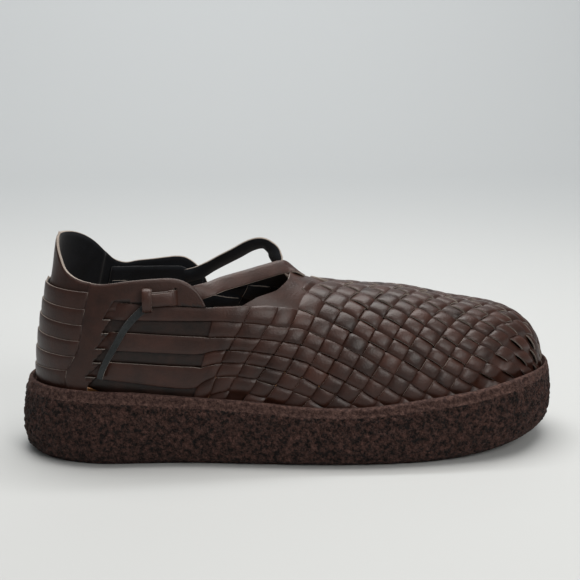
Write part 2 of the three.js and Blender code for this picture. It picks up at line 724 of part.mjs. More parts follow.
// The sole: a thick cup whose rim stands round the upper
function outsole() {
  const trim = (x) => 1 - TOE_TRIM * smooth((x - 115) / 30);
  const height = (x, share) => ground(x) + share * (read(LAST, x, "rim") - ground(x));
  const outside = SOLE_RINGS.map((row) => ring((x) => row.out * trim(x), (x) => height(x, row.share)));
  const wall = (x) => LEATHER + STRIP_RISE + 2 * GAP + 1.4 * smooth((-88 - x) / 16);
  const lip = ring((x) => wall(x) + 0.8, (x) => read(LAST, x, "rim"));
  const seat = ring(wall, (x) => read(LAST, x, "rim") - 1);
  const floor = ring(wall, (x) => read(LAST, x, "foot"));
  return ringSolid([...outside, lip, seat, floor]);
}

// The footbed, inside the upper and on the sole
function insole() {
  const inset = (x) => -2 - 2.3 * smooth((x - 75) / 65);
  const low = (x) => read(LAST, x, "foot") + GAP;
  return ringSolid([
    ring((x) => inset(x) - 1, low),
    ring(inset, (x) => low(x) + 0.8),
    ring(inset, (x) => low(x) + INSOLE - 1),
    ring((x) => inset(x) - 1, (x) => low(x) + INSOLE),
  ]);
}

// A strip of leather along a line of points, each with the direction its face looks
function ribbon(points, faces, width, thickness, steps) {
  const line = new THREE.CatmullRomCurve3(points);
  const looks = new THREE.CatmullRomCurve3(faces);
  const front = [];
  const back = [];
  for (let k = 0; k <= steps; k++) {
    const t = k / steps;
    const at = line.getPoint(t);
    const face = looks.getPoint(t).normalize();
    const across = new THREE.Vector3().crossVectors(line.getTangent(t), face).normalize();
    face.crossVectors(across, line.getTangent(t)).normalize();
    const corner = (u, v) => {
      const sideways = across.clone().multiplyScalar(u * width * 0.5);
      return at.clone().add(sideways).addScaledVector(face, v * thickness * 0.5);
    };
    front.push([corner(-1, 1), corner(1, 1)]);
    back.push([corner(-1, -1), corner(1, -1)]);
  }
  return sheetSolid(front, back);
}

// The way the wall faces at a place on the side
function wallFace(station, z, side) {
  return sidePoint(station, z, side, 1).sub(sidePoint(station, z, side, 0)).normalize();
}

// An instep strap: over the throat, behind the wing, and out of its slot
function instepStrap(name, side) {
  const path = STRAP_PATHS[name].map((row) => new THREE.Vector3(row.x, row.y, row.z));
  const faces = path.map((p) => new THREE.Vector3(0, p.y * 0.6, 40).normalize());
  for (const [x, z] of [[-54, 92], [SLOT.x + 0.6, SLOT.z]]) {
    path.push(sidePoint(x, z, side, LEATHER * 0.5));
    faces.push(wallFace(x, z, side));
  }
  const strip = ribbon(path, faces, STRAP_WIDTH, LEATHER * 0.85, 26);
  const from = sidePoint(SLOT.x, SLOT.z, side, 0.3);
  const to = sidePoint(SLOT.x, SLOT.z, side, 5.4);
  const along = new THREE.Vector3(1, 0, 0);
  const stub = ribbon([from, to], [along, along], STRAP_WIDTH, SLOT.width - 2 * GAP, 1);
  return strip.add(stub);
}

// The rolled end of a strap outside the wing and the loop it is tied through
function strapKnot(side) {
  const seat = 2 * LEATHER + 2.5 * GAP;
  const start = SLOT.x - SLOT.width / 2;
  const roll = (x, height, depth) => {
    const around = 12;
    return Array.from({ length: around }, (_, k) => {
      const angle = (k / around) * 4 * TAU;
      const middle = KNOT.z + ((SLOT.z - KNOT.z) * (x - KNOT.x)) / (SLOT.x - KNOT.x);
      const z = middle + (height / 2) * Math.cos(angle);
      return sidePoint(x, z, side, seat + (depth / 2) * (1 + Math.sin(angle)));
    });
  };
  const rings = [
    roll(start, KNOT.height, KNOT.depth * 0.7),
    roll(start - 4, KNOT.height, KNOT.depth * 0.9),
    roll(start - 10, KNOT.height * 0.9, KNOT.depth),
    roll(KNOT.x + 2.3, KNOT.height * 0.9, KNOT.depth),
    roll(KNOT.x + 2, KNOT.height * 1.5, KNOT.depth * 1.2),
    roll(KNOT.x, KNOT.height * 1.6, KNOT.depth * 1.3),
    roll(KNOT.x - 2, KNOT.height * 1.5, KNOT.depth * 1.2),
  ];
  return tube(rings);
}

// A solid round a row of rings that turn the same way, closed with a fan at either end
function tube(rings) {
  const triangles = [];
  const count = rings[0].length;
  for (let r = 0; r < rings.length - 1; r++) {
    for (let k = 0; k < count; k++) {
      const n = (k + 1) % count;
      triangles.push(rings[r][k], rings[r][n], rings[r + 1][n]);
      triangles.push(rings[r][k], rings[r + 1][n], rings[r + 1][k]);
    }
  }
  for (let k = 1; k < count - 1; k++) {
    triangles.push(rings[0][0], rings[0][k + 1], rings[0][k]);
    triangles.push(rings.at(-1)[0], rings.at(-1)[k], rings.at(-1)[k + 1]);
  }
  return solidFrom(triangles);
}

// The loose end that hangs from the knot down the quarter
function strapTail(side) {
  const steps = 5;
  const points = [];
  const faces = [];
  for (let k = 0; k <= steps; k++) {
    const t = k / steps;
    const x = KNOT.x - 1.5 + (TAIL.x - KNOT.x + 1.5) * t;
    const z = KNOT.z - KNOT.height * 0.8 - 1.4 + (TAIL.z - KNOT.z + KNOT.height * 0.8 + 1.4) * t ** 0.86;
    points.push(sidePoint(x, z, side, 3 * LEATHER + 3 * GAP));
    faces.push(wallFace(x, z, side));
  }
  return ribbon(points, faces, TAIL.width, LEATHER, 10);
}

const leather = new THREE.MeshStandardMaterial({ color: 0x4a3530, roughness: 0.5, metalness: 0 });
const suede = new THREE.MeshStandardMaterial({ color: 0x4b5058, roughness: 0.95, metalness: 0 });
const crepe = new THREE.MeshStandardMaterial({ color: 0x3b2624, roughness: 0.9, metalness: 0 });
const tan = new THREE.MeshStandardMaterial({ color: 0xb98a5c, roughness: 0.7, metalness: 0 });

const shoe = new THREE.Group();
function add(name, solid, material) {
  const made = solid.getMesh();
  const geometry = new THREE.BufferGeometry();
  geometry.setAttribute("position", new THREE.BufferAttribute(new Float32Array(made.vertProperties), 3));
  geometry.setIndex(new THREE.BufferAttribute(new Uint32Array(made.triVerts), 1));
  geometry.computeVertexNormals();
  const mesh = new THREE.Mesh(geometry, material);
  mesh.name = name;
  shoe.add(mesh);
}

add("outsole", outsole(), crepe);
add("insole", insole(), tan);
add("upper", upper(), leather);
add("heel_counter", counter(), leather);
add("heel_bands", heelBands(), leather);
for (const [name, side] of [["lateral", -1], ["medial", 1]]) {
  add("instep_strap_" + name, instepStrap(name, side), leather);
  add("strap_knot_" + name, strapKnot(side), leather);
  add("strap_tail_" + name, strapTail(side), suede);
}

// The origin under the middle of the whole shoe
const middle = new THREE.Box3().setFromObject(shoe).getCenter(new THREE.Vector3());
for (const piece of shoe.children) piece.geometry.translate(-middle.x, -middle.y, 0);

export default shoe;
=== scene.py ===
import math
from functools import partial

import bmesh
import bpy
import numpy as np
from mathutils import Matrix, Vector, noise


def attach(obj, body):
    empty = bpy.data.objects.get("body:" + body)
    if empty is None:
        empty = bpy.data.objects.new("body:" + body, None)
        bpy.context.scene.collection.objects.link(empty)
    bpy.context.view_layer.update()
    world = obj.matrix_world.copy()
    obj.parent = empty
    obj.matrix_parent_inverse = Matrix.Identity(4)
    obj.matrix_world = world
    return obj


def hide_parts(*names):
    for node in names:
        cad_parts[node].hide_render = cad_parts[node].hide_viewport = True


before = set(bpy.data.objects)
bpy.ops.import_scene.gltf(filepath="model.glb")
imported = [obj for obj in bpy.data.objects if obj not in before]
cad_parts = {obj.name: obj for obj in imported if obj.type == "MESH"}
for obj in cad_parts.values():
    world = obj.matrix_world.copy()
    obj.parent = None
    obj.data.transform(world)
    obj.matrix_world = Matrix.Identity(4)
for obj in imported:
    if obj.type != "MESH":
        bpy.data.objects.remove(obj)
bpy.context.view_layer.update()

# The camera: its place in millimetres, its angles in degrees, its focal length in pixels of the photo
CAMERA_PLACE = (-38.3, -529.0, 197.0)
CAMERA_YAW = 4.0
CAMERA_PITCH = 11.8
FOCAL_PIXELS = 957.0
PHOTO_PIXELS = 580
MM = 0.001
SOLE_MIDDLE = (-0.1, 2.0)  # lies over the frame's origin, in this script's millimetres


def metres(points):
    """From this script's millimetres to the frame's metres."""
    shifted = np.asarray(points, float) - np.array([SOLE_MIDDLE[0], SOLE_MIDDLE[1], 0.0])
    return shifted * MM


lens = bpy.data.cameras.new("camera")
lens.sensor_width = 36.0
lens.lens = FOCAL_PIXELS / PHOTO_PIXELS * lens.sensor_width
camera = bpy.data.objects.new("camera", lens)
camera.location = metres(CAMERA_PLACE)
camera.rotation_euler = (math.radians(90 - CAMERA_PITCH), 0, math.radians(-CAMERA_YAW))
bpy.context.scene.collection.objects.link(camera)
bpy.context.scene.camera = camera

# The last, in millimetres from the middle of the shoe, toe at +x and the foot's inner side at +y
HEEL_X, HEEL_LENGTH, HEEL_POWER = -141.0, 44.0, 2.1
TOE_X, TOE_LENGTH, TOE_WIDTH_POWER, TOE_HEIGHT_POWER = 145.0, 60.0, 2.4, 4.0
LEATHER = 1.5
# The back leans forwards with height above LEAN_START, fully where x is LEAN_RUN behind LEAN_FRONT
LEAN_START, LEAN_SPAN, LEAN, LEAN_POWER = 44.0, 72.0, 14.0, 1.5
LEAN_FRONT, LEAN_RUN = -60.0, 50.0
# Where half the last's girth is more than this, the vamp's girths start that much below its ridge
CROWN_GIRTH = 98.5
COLUMNS = ("x", "outer", "inner", "centre", "root", "ridge", "side", "top", "foot", "rim")
LAST = np.array(
    [
        (-141, 31, 31, 0, 24, 165, 2.2, 2.4, 36, 41),
        (-100, 33, 32, 0, 23, 160, 2.3, 2.4, 35.6, 40.4),
        (-60, 34.5, 32, 0.5, 20, 140, 2.3, 2.3, 32.4, 37),
        (-25, 39, 34, 1, 17, 112, 2.2, 2.2, 30, 34.8),
        (5, 43.5, 38.5, 2, 14, 92, 2.2, 2.1, 27, 32),
        (35, 46.5, 43, 3, 12, 86.4, 2.3, 2.1, 26.6, 31.8),
        (65, 46, 44, 3.5, 12, 83.5, 2.4, 2.1, 29.6, 34.8),
        (95, 43, 42, 4.5, 14, 77, 2.4, 2.1, 33, 38),
        (125, 38, 38, 6, 17, 73, 2.4, 2.1, 37, 42),
        (150, 34, 34, 8, 18, 69, 2.4, 2.1, 39, 44),
    ],
    float,
)


def curve(xs, ys, x):
    """A smooth curve through a short table."""
    xs, ys = np.asarray(xs, float), np.asarray(ys, float)
    order = np.arange(len(xs))
    ahead, behind = np.minimum(order + 1, len(xs) - 1), np.maximum(order - 1, 0)
    slope = (ys[ahead] - ys[behind]) / (xs[ahead] - xs[behind])
    x = np.clip(x, xs[0], xs[-1])
    k = np.clip(np.searchsorted(xs, x) - 1, 0, len(xs) - 2)
    span = xs[k + 1] - xs[k]
    t = (x - xs[k]) / span
    bend = t * t * (3 - 2 * t)
    ends = ys[k] * (1 - bend) + ys[k + 1] * bend
    return ends + span * slope[k] * t * (1 - t) ** 2 - span * slope[k + 1] * t * t * (1 - t)


def last_size(x, name):
    return curve(LAST[:, 0], LAST[:, COLUMNS.index(name)], x)


def smooth(t):
    """From 0 to 1 with a level start and end."""
    t = np.clip(t, 0, 1)
    return t * t * (3 - 2 * t)


def lean(x, z):
    rise = np.clip((z - LEAN_START) / LEAN_SPAN, 0, 2)
    return LEAN * rise**LEAN_POWER * smooth((LEAN_FRONT - x) / LEAN_RUN)


def section(x):
    """Sizes of the last's section at x, closed towards the heel and the toe."""
    heel = np.clip((HEEL_X + HEEL_LENGTH - x) / HEEL_LENGTH, 0, 1)
    toe = np.clip((x - TOE_X + TOE_LENGTH) / TOE_LENGTH, 0, 1)
    heel_end = (1 - heel**HEEL_POWER) ** (1 / HEEL_POWER)
    ends = heel_end * (1 - toe**TOE_WIDTH_POWER) ** (1 / TOE_WIDTH_POWER)
    root = last_size(x, "root")
    height = (last_size(x, "ridge") - root) * (1 - toe**TOE_HEIGHT_POWER) ** (1 / TOE_HEIGHT_POWER)
    return {
        "outer": last_size(x, "outer") * ends,
        "inner": last_size(x, "inner") * ends,
        "centre": last_size(x, "centre"),
        "root": root,
        "height": height,
        "side": last_size(x, "side"),
        "top": last_size(x, "top"),
    }


def level(x, y, z):
    """1 on the last's surface, less inside it and more outside."""
    s = section(x - lean(x, z))
    half = np.maximum(np.where(y < s["centre"], s["outer"], s["inner"]), 1e-3)
    rise = np.maximum(z - s["root"], 0) / np.maximum(s["height"], 1e-3)
    return (np.abs(y - s["centre"]) / half) ** s["side"] + rise ** s["top"]


def facing(x, y, z):
    """The way the last's surface looks at a point on it."""
    step = 0.05
    look = np.stack(
        [
            level(x + step, y, z) - level(x - step, y, z),
            level(x, y + step, z) - level(x, y - step, z),
            level(x, y, z + step) - level(x, y, z - step),
        ],
        -1,
    )
    return look / np.maximum(np.linalg.norm(look, axis=-1, keepdims=True), 1e-12)


def side_base(station, z, side):
    """Points of the side wall and the way they look: side -1 is the outer side of the foot."""
    station, z = np.broadcast_arrays(np.asarray(station, float), np.asarray(z, float))
    s = section(station)
    rise = np.clip((z - s["root"]) / s["height"], 0, 1)
    half = np.where(side < 0, s["outer"], s["inner"]) * (1 - rise ** s["top"]) ** (1 / s["side"])
    x = station + lean(station, z)
    y = s["centre"] + side * half
    return np.stack([x, y, z], -1), facing(x, y, z)


# Along the nose the way is measured round the toe instead of straight ahead
NOSE_START = 100.0
nose_x = np.concatenate([np.arange(NOSE_START, 140, 0.25), TOE_X - np.geomspace(5, 1e-4, 400)])
nose_section = section(nose_x)
nose_z = nose_section["root"] + nose_section["height"]
nose_way = NOSE_START + np.concatenate([[0], np.cumsum(np.hypot(np.diff(nose_x), np.diff(nose_z)))])


def x_of_way(way):
    return np.where(way < NOSE_START, way, np.interp(way, nose_way, nose_x))


# Girth from the ridge, tabled by the way along the shoe and the share of the quarter curve
GIRTH_WAYS = np.linspace(-130, float(nose_way[-1]), 260)
GIRTH_SHARES = np.linspace(0, 1, 121)
LOWEST_SHARE = 0.995
TOE_TIP = TOE_X - 0.02


def quarter_curve(s, side, angle):
    """Distance out from the centre and height over the root, by the angle from the ridge."""
    out = s[side] * np.sin(angle) ** (2 / s["side"])
    up = s["height"] * np.cos(angle) ** (2 / s["top"])
    return out, up


def quarter_run(s, side, angles):
    """Way along the quarter curve from its first angle to each."""
    out, up = quarter_curve(s, side, angles)
    return np.concatenate([[0], np.cumsum(np.hypot(np.diff(out), np.diff(up)))])


def read_table(table, row, column):
    """A table's value between its entries."""
    r, c = row.astype(int), column.astype(int)
    fr, fc = row - r, column - c
    near = table[r, c] * (1 - fc) + table[r, c + 1] * fc
    far = table[r + 1, c] * (1 - fc) + table[r + 1, c + 1] * fc
    return near * (1 - fr) + far * fr


def girth_table(side):
    angles = np.linspace(0, math.pi / 2, 200)
    totals, shares = [], []
    for x in x_of_way(GIRTH_WAYS):
        run = quarter_run(section(np.array(float(x))), side, angles)
        totals.append(run[-1])
        shares.append(np.interp(GIRTH_SHARES, run / max(run[-1], 1e-6), angles))
    return np.array(totals), np.array(shares)


GIRTHS = {side: girth_table(side) for side in ("outer", "inner")}


def vamp_base(way, girth):
    """Points of the vamp by way along the shoe and girth from the ridge, and the way they look."""
    x = np.minimum(x_of_way(way), TOE_TIP)
    s = section(x)
    points = []
    for side, sign in (("outer", -1), ("inner", 1)):
        totals, shares = GIRTHS[side]
        total = np.interp(way, GIRTH_WAYS, totals)
        run = np.abs(girth) + np.maximum(total - CROWN_GIRTH, 0)
        share = np.clip(run / np.maximum(total, 1e-3), 0, LOWEST_SHARE)
        row = np.clip((way - GIRTH_WAYS[0]) / (GIRTH_WAYS[1] - GIRTH_WAYS[0]), 0, len(GIRTH_WAYS) - 1.001)
        out, up = quarter_curve(s, side, read_table(shares, row, share * (len(GIRTH_SHARES) - 1)))
        points.append(np.stack([x, s["centre"] + sign * out, s["root"] + up], -1))
    base = np.where((girth > 0)[..., None], points[0], points[1])
    return base, facing(base[..., 0], base[..., 1], base[..., 2])


# How many strips lie between the origin and a place on the vamp: powers of way and girth, and a factor
# The factors, and the amounts of the shifts, come from a fit to where strips cross in the photo
STRIP_LAW = [
    (0, 0, -0.26), (0, 1, 6.09), (0, 2, -4.38), (0, 3, 1.41), (0, 4, 2.69),
    (1, 0, 5.66), (1, 1, 5.71), (1, 2, 1.04), (1, 3, -3.17),
    (2, 0, 2.56), (2, 1, -5.0), (2, 2, -0.82), (3, 0, -1.93), (3, 1, 4.04), (4, 0, 0.43),
]  # fmt: skip
# Small local shifts of that count by the throat: way, girth and amount
STRIP_SHIFTS = [
    (-45, -40, 0.72), (-45, 40, -0.15), (-45, 70, 0.29),
    (-45, -75, -0.71), (-18, -32, 0.85), (-18, 32, -0.51),
]  # fmt: skip
SHIFT_RADIUS = 24.0
RIDGE_SUM = -3  # the two strip counts add up to this on the ridge
FIRST_STRIP = -2  # the rearmost strip of the weave
# A first guess at a place from its two counts: even strips, and a longer way down by the throat
GUESS_MIDDLE, GUESS_WAY, GUESS_CELL_WAY, GUESS_BEND = 2.5, 19.7, 14.6, 0.36
GUESS_CELL_GIRTH, GUESS_THROAT = 10.5, 11
LONGEST_STEP = 8
WAY_LIMITS, GIRTH_LIMITS = (-85, 185), (-25, 118)


def strip_count(way, girth):
    count = sum(c * (way / 100) ** a * (girth / 100) ** b for a, b, c in STRIP_LAW)
    for x, g, c in STRIP_SHIFTS:
        count = count + c * np.exp(-((way - x) ** 2 + (girth - g) ** 2) / SHIFT_RADIUS**2)
    return count


def solve_weave(u, v):
    """Way and girth of a place in the weave: u counts the rising strips and v the falling ones."""
    mirrored = u + v < RIDGE_SUM
    a = np.where(mirrored, RIDGE_SUM - v, u)
    b = np.where(mirrored, RIDGE_SUM - u, v)
    n, m = a + b - RIDGE_SUM, (a - b) / 2 - GUESS_MIDDLE
    by_throat = GUESS_THROAT * np.maximum(0, 1 - a) * np.clip(b + 2, 0, 1)
    way = GUESS_WAY + GUESS_CELL_WAY * m + GUESS_BEND * n * n
    girth = GUESS_CELL_GIRTH * n + by_throat
    step = 0.02
    for _ in range(30):
        miss_a = strip_count(way, girth) - a
        miss_b = strip_count(way, -girth) + b - RIDGE_SUM
        ax = (strip_count(way + step, girth) - strip_count(way - step, girth)) / (2 * step)
        ag = (strip_count(way, girth + step) - strip_count(way, girth - step)) / (2 * step)
        bx = (strip_count(way + step, -girth) - strip_count(way - step, -girth)) / (2 * step)
        bg = (strip_count(way, -girth - step) - strip_count(way, -girth + step)) / (2 * step)
        det = ax * bg - ag * bx
        det = np.where(np.abs(det) < 1e-5, 1e-5, det)
        dx, dg = (-miss_a * bg + miss_b * ag) / det, (miss_a * bx - miss_b * ax) / det
        pace = np.minimum(1, LONGEST_STEP / np.maximum(np.hypot(dx, dg), 1e-9))
        way = np.clip(way + dx * pace, *WAY_LIMITS)
        girth = np.clip(girth + dg * pace, *GIRTH_LIMITS)
    return way, np.where(mirrored, -girth, girth)


# The weave solved once on a grid of quarter strips, and read between its points
WEAVE_STEP = 0.25
WEAVE_U = np.arange(-9, 22.01, WEAVE_STEP)
WEAVE_V = np.arange(-25, 7.01, WEAVE_STEP)
WEAVE_WAY, WEAVE_GIRTH = solve_weave(*np.meshgrid(WEAVE_U, WEAVE_V, indexing="ij"))
# Behind the throat the top side strap takes a part of its strip's width only
TOP_STRAP_U, TOP_STRAP_SHARE = (-2, -1.5, -1, -0.5, 0), (0.45, 0.6, 0.8, 0.95, 1)
TOP_STRAP_V = -1.3


def weave_place(u, v):
    """Way and girth of a place in the weave, from its two strip counts."""
    u, v = np.broadcast_arrays(np.asarray(u, float), np.asarray(v, float))
    top_strap = np.interp(u, TOP_STRAP_U, TOP_STRAP_SHARE)
    v = np.where((u < 0) & (v > TOP_STRAP_V) & (v < 0), v * top_strap, v)
    row = np.clip((u - WEAVE_U[0]) / WEAVE_STEP, 0, len(WEAVE_U) - 1.001)
    column = np.clip((v - WEAVE_V[0]) / WEAVE_STEP, 0, len(WEAVE_V) - 1.001)
    return [read_table(table, row, column) for table in (WEAVE_WAY, WEAVE_GIRTH)]


# Making meshes
random = np.random.default_rng(7)


def make_piece(name, points, faces, face_materials, materials, tones=None, bevel=0.0):
    mesh = bpy.data.meshes.new(name)
    mesh.from_pydata(metres(points).tolist(), [], faces)
    for material in materials:
        mesh.materials.append(material)
    mesh.polygons.foreach_set("material_index", face_materials)
    mesh.polygons.foreach_set("use_smooth", [True] * len(faces))
    if tones is not None:
        layer = mesh.attributes.new("tone", "FLOAT", "POINT")
        layer.data.foreach_set("value", np.asarray(tones, float))
    mesh.update()
    piece = bpy.data.objects.new(name, mesh)
    bpy.context.scene.collection.objects.link(piece)
    if bevel:
        modifier = piece.modifiers.new("cut edges", "BEVEL")
        modifier.width = bevel * MM
        modifier.segments = 2
        modifier.limit_method = "ANGLE"
        modifier.angle_limit = math.radians(50)
        modifier.harden_normals = True
    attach(piece, "root")
    return piece


class Sheets:
    """Gathers closed bodies of leather into one mesh."""

    def __init__(self):
        self.points, self.faces, self.materials, self.tones = [], [], [], []
        self.count = 0

    def add(self, points, faces, materials, tones):
        self.points.append(points)
        self.faces.extend([[k + self.count for k in face] for face in faces])
        self.materials.extend(materials)
        self.tones.append(tones)
        self.count += len(points)

    def piece(self, name, materials, bevel=0.0):
        return make_piece(
            name, np.concatenate(self.points), self.faces, self.materials, materials,
            np.concatenate(self.tones), bevel,
        )  # fmt: skip


# Across a strip: place from edge to edge, and height from its middle layer in leather of 1.5 mm
SECTION_LEATHER = 1.5
STRIP_SECTION = [
    (-1.0, -0.2), (-1.0, 0.42), (-0.93, 0.6), (-0.5, 0.76), (0.0, 0.82), (0.5, 0.76), (0.93, 0.6),
    (1.0, 0.42), (1.0, -0.2), (0.98, -0.6), (0.0, -0.7), (-0.98, -0.6),
]  # fmt: skip
# Its faces: 0 for the upper side, 1 for the back and 2 for an edge
STRIP_FACES = [2, 0, 0, 0, 0, 0, 0, 2, 2, 1, 1, 2]


def strip_body(sheets, bases, looks, heights, tone):
    """One strip: bases and looks hold a row of section points for every station along it."""
    stations, around = bases.shape[:2]
    rise = np.array([h for _, h in STRIP_SECTION]) * (LEATHER / SECTION_LEATHER)
    points = (bases + looks * (heights[:, None] + rise[None, :])[..., None]).reshape(-1, 3)
    faces, materials = [], []
    for k in range(stations - 1):
        for m in range(around):
            n = (m + 1) % around
            faces.append([k * around + m, k * around + n, (k + 1) * around + n, (k + 1) * around + m])
            materials.append(STRIP_FACES[m])
    faces.append(list(range(around))[::-1])
    faces.append([(stations - 1) * around + m for m in range(around)])
    materials.extend([2, 2])
    sheets.add(points, faces, materials, np.repeat(tone, around))


def closed_sheet(sheets, front, back, tone, flip=False):
    """A body between two grids of points."""
    rows, columns = front.shape[:2]
    points = np.concatenate([front.reshape(-1, 3), back.reshape(-1, 3)])
    far = rows * columns
    faces, materials = [], []
    end_row, end_column = rows - 1, columns - 1

    def over(r, c):
        return r * columns + c

    def under(r, c):
        return far + over(r, c)

    for r in range(end_row):
        for c in range(end_column):
            faces.append([over(r, c), over(r + 1, c), over(r + 1, c + 1), over(r, c + 1)])
            faces.append([under(r, c), under(r, c + 1), under(r + 1, c + 1), under(r + 1, c)])
            materials += [0, 1]
    for r in range(end_row):
        n = r + 1
        faces.append([over(r, 0), under(r, 0), under(n, 0), over(n, 0)])
        faces.append([over(n, end_column), under(n, end_column), under(r, end_column), over(r, end_column)])
        materials += [2, 2]
    for c in range(end_column):
        n = c + 1
        faces.append([over(0, n), under(0, n), under(0, c), over(0, c)])
        faces.append([over(end_row, c), under(end_row, c), under(end_row, n), over(end_row, n)])
        materials += [2, 2]
    if flip:
        faces = [face[::-1] for face in faces]
    sheets.add(points, faces, materials, np.full(len(points), tone))


# Materials
def linear(code):
    """A colour from its sRGB hex value."""
    parts = [int(code[k : k + 2], 16) / 255 for k in (1, 3, 5)]
    return tuple(p / 12.92 if p <= 0.04045 else ((p + 0.055) / 1.055) ** 2.4 for p in parts) + (1.0,)


def add_node(tree, kind, inputs=(), **settings):
    """Adds a node with its settings, and its inputs' values or links."""
    made = tree.nodes.new(kind)
    for name, value in settings.items():
        setattr(made, name, value)
    for name, value in dict(inputs).items():
        if isinstance(value, bpy.types.NodeSocket):
            tree.links.new(value, made.inputs[name])
        else:
            made.inputs[name].default_value = value
    return made


def new_material(name):
    made = bpy.data.materials.new(name)
    made.use_nodes = True
    made.node_tree.nodes.clear()
    return made, made.node_tree


def two_tone(tree, value, low, high, dark, light):
    """A colour between two: dark where the value is low and light where it is high."""
    shade = add_node(tree, "ShaderNodeMapRange", {"Value": value, "From Min": low, "From Max": high})
    colour = add_node(tree, "ShaderNodeMix", data_type="RGBA")
    tree.links.new(shade.outputs[0], colour.inputs[0])
    colour.inputs[6].default_value = linear(dark)
    colour.inputs[7].default_value = linear(light)
    return colour.outputs[2]


def finish_surface(tree, colour, roughness, height, strength, depth_mm, ior, specular):
    """The surface itself, from the pattern's colour, roughness and height."""
    relief = {"Height": height, "Strength": strength, "Distance": depth_mm * MM}
    bump = add_node(tree, "ShaderNodeBump", relief)
    shader = add_node(tree, "ShaderNodeBsdfPrincipled", {
        "Base Color": colour, "Roughness": roughness, "Normal": bump.outputs[0], "IOR": ior,
        "Specular IOR Level": specular,
    })  # fmt: skip
    add_node(tree, "ShaderNodeOutputMaterial", {"Surface": shader.outputs[0]})
    return shader


CLOUD_MM = 9.0
PATCH_MM = 12.0


def leather_material(name, dark, light, roughness, grain_mm, grain_depth):
    """Full-grain cowhide with a waxed, semi-matte finish: a pebbled grain under a soft sheen."""
    made, tree = new_material(name)
    place = add_node(tree, "ShaderNodeTexCoord").outputs["Object"]
    # The tone attribute: random per tile, and painted shade on the recessed side straps
    tone = add_node(tree, "ShaderNodeAttribute", attribute_name="tone").outputs["Fac"]
    clouds = {"Vector": place, "Scale": 1000 / CLOUD_MM, "Detail": 4.0, "Roughness": 0.6}
    cloud = add_node(tree, "ShaderNodeTexNoise", clouds).outputs["Fac"]
    shade = add_node(tree, "ShaderNodeMath", {0: cloud, 1: tone}, operation="ADD")
    colour = two_tone(tree, shade.outputs[0], 0.5, 1.5, dark, light)
    grain = add_node(tree, "ShaderNodeTexVoronoi", {"Vector": place, "Scale": 1000 / grain_mm})
    creases = {"Vector": place, "Scale": 1000 / (grain_mm * 2.5), "Detail": 3.0}
    fine = add_node(tree, "ShaderNodeTexNoise", creases)
    heights = {0: grain.outputs["Distance"], 1: fine.outputs["Fac"]}
    height = add_node(tree, "ShaderNodeMath", heights, operation="ADD")
    sheen = {"Value": cloud, "To Min": roughness - 0.08, "To Max": roughness + 0.1}
    rough = add_node(tree, "ShaderNodeMapRange", sheen)
    finish_surface(tree, colour, rough.outputs[0], height.outputs[0], 0.5, grain_depth, 1.5, 0.4)
    return made


def suede_material(name, dark, light, nap_mm, nap_depth):
    """The flesh side of the hide: short nap that scatters light and shows no gloss."""
    made, tree = new_material(name)
    place = add_node(tree, "ShaderNodeTexCoord").outputs["Object"]
    fibres = {"Vector": place, "Scale": 1000 / nap_mm, "Detail": 5.0, "Roughness": 0.7}
    nap = add_node(tree, "ShaderNodeTexNoise", fibres).outputs["Fac"]
    brushed = {"Vector": place, "Scale": 1000 / PATCH_MM, "Detail": 2.0}
    patches = add_node(tree, "ShaderNodeTexNoise", brushed).outputs["Fac"]
    shade = add_node(tree, "ShaderNodeMath", {0: nap, 1: patches}, operation="ADD")
    colour = two_tone(tree, shade.outputs[0], 0.6, 1.4, dark, light)
    shader = finish_surface(tree, colour, 0.95, nap, 0.6, nap_depth, 1.45, 0.2)
    shader.inputs["Sheen Weight"].default_value = 0.15
    return made


def crepe_material(name, dark, light, crumb_mm, crumb_depth):
    """Natural crepe rubber: pressed crumbs of latex, rough and dull; its colour follows the lumps, with
    painted shade: darker in the hollows and lighter on their tips.
    """
    made, tree = new_material(name)
    place = add_node(tree, "ShaderNodeTexCoord").outputs["Object"]
    cells = {"Vector": place, "Scale": 1000 / crumb_mm, "Randomness": 1.0}
    crumbs = add_node(tree, "ShaderNodeTexVoronoi", cells)
    rough_lumps = {"Vector": place, "Scale": 1000 / (crumb_mm * 1.6), "Detail": 9.0, "Roughness": 0.8}
    lumps = add_node(tree, "ShaderNodeTexNoise", rough_lumps).outputs["Fac"]
    heights = {0: lumps, 1: crumbs.outputs["Distance"]}
    height = add_node(tree, "ShaderNodeMath", heights, operation="SUBTRACT")
    # Painted shade: dark where the lumps are low, in the hollows, and light on their tips
    colour = two_tone(tree, lumps, 0.43, 0.7, dark, light)
    finish_surface(tree, colour, 0.88, height.outputs[0], 1.0, crumb_depth, 1.52, 0.25)
    return made


# Brown waxed hide with its grey flesh side behind and pale cut edges, dark crepe, and a tan footbed
waxed_leather = leather_material("waxed_leather", "#140803", "#42241a", 0.41, 1.1, 0.12)
suede_back = suede_material("suede_back", "#08090b", "#191c21", 0.9, 0.25)
suede_tail = suede_material("suede_tail", "#151617", "#383b3c", 0.9, 0.25)
raw_edge = suede_material("raw_edge", "#6f655e", "#a79c92", 0.6, 0.15)
crepe_rubber = crepe_material("crepe_rubber", "#0b0504", "#6b4b43", 1.7, 2.2)
crepe_lip = crepe_material("crepe_lip", "#2c1b18", "#6a5048", 1.2, 0.4)
footbed_leather = leather_material("footbed_leather", "#9c6a3e", "#d3a06c", 0.6, 1.4, 0.1)

LEATHERS = [waxed_leather, suede_back, raw_edge]

# The weave. A long strip climbs from the outer foot line over the ridge to the inner one; its mirror image
# is a strip of the other family. A side strip runs from the foot line at the toe back to the counter.
ACROSS = np.array([a for a, _ in STRIP_SECTION])
STRIP_HALF = 0.45  # half a strip's width, in strip spacings
PER_CELL = 9  # stations along a strip in one spacing
MIDDLE = 1.6  # height of the weave's middle over the last
SWING = 1.2  # how far a strip goes up and down from there
FLAT_CREST = 1.6  # more gives flatter crests and steeper dives
TONE, TONE_SPREAD = 0.5, 0.1
FOOT_MARGIN = 1.5  # how far below the footbed's line a strip ends
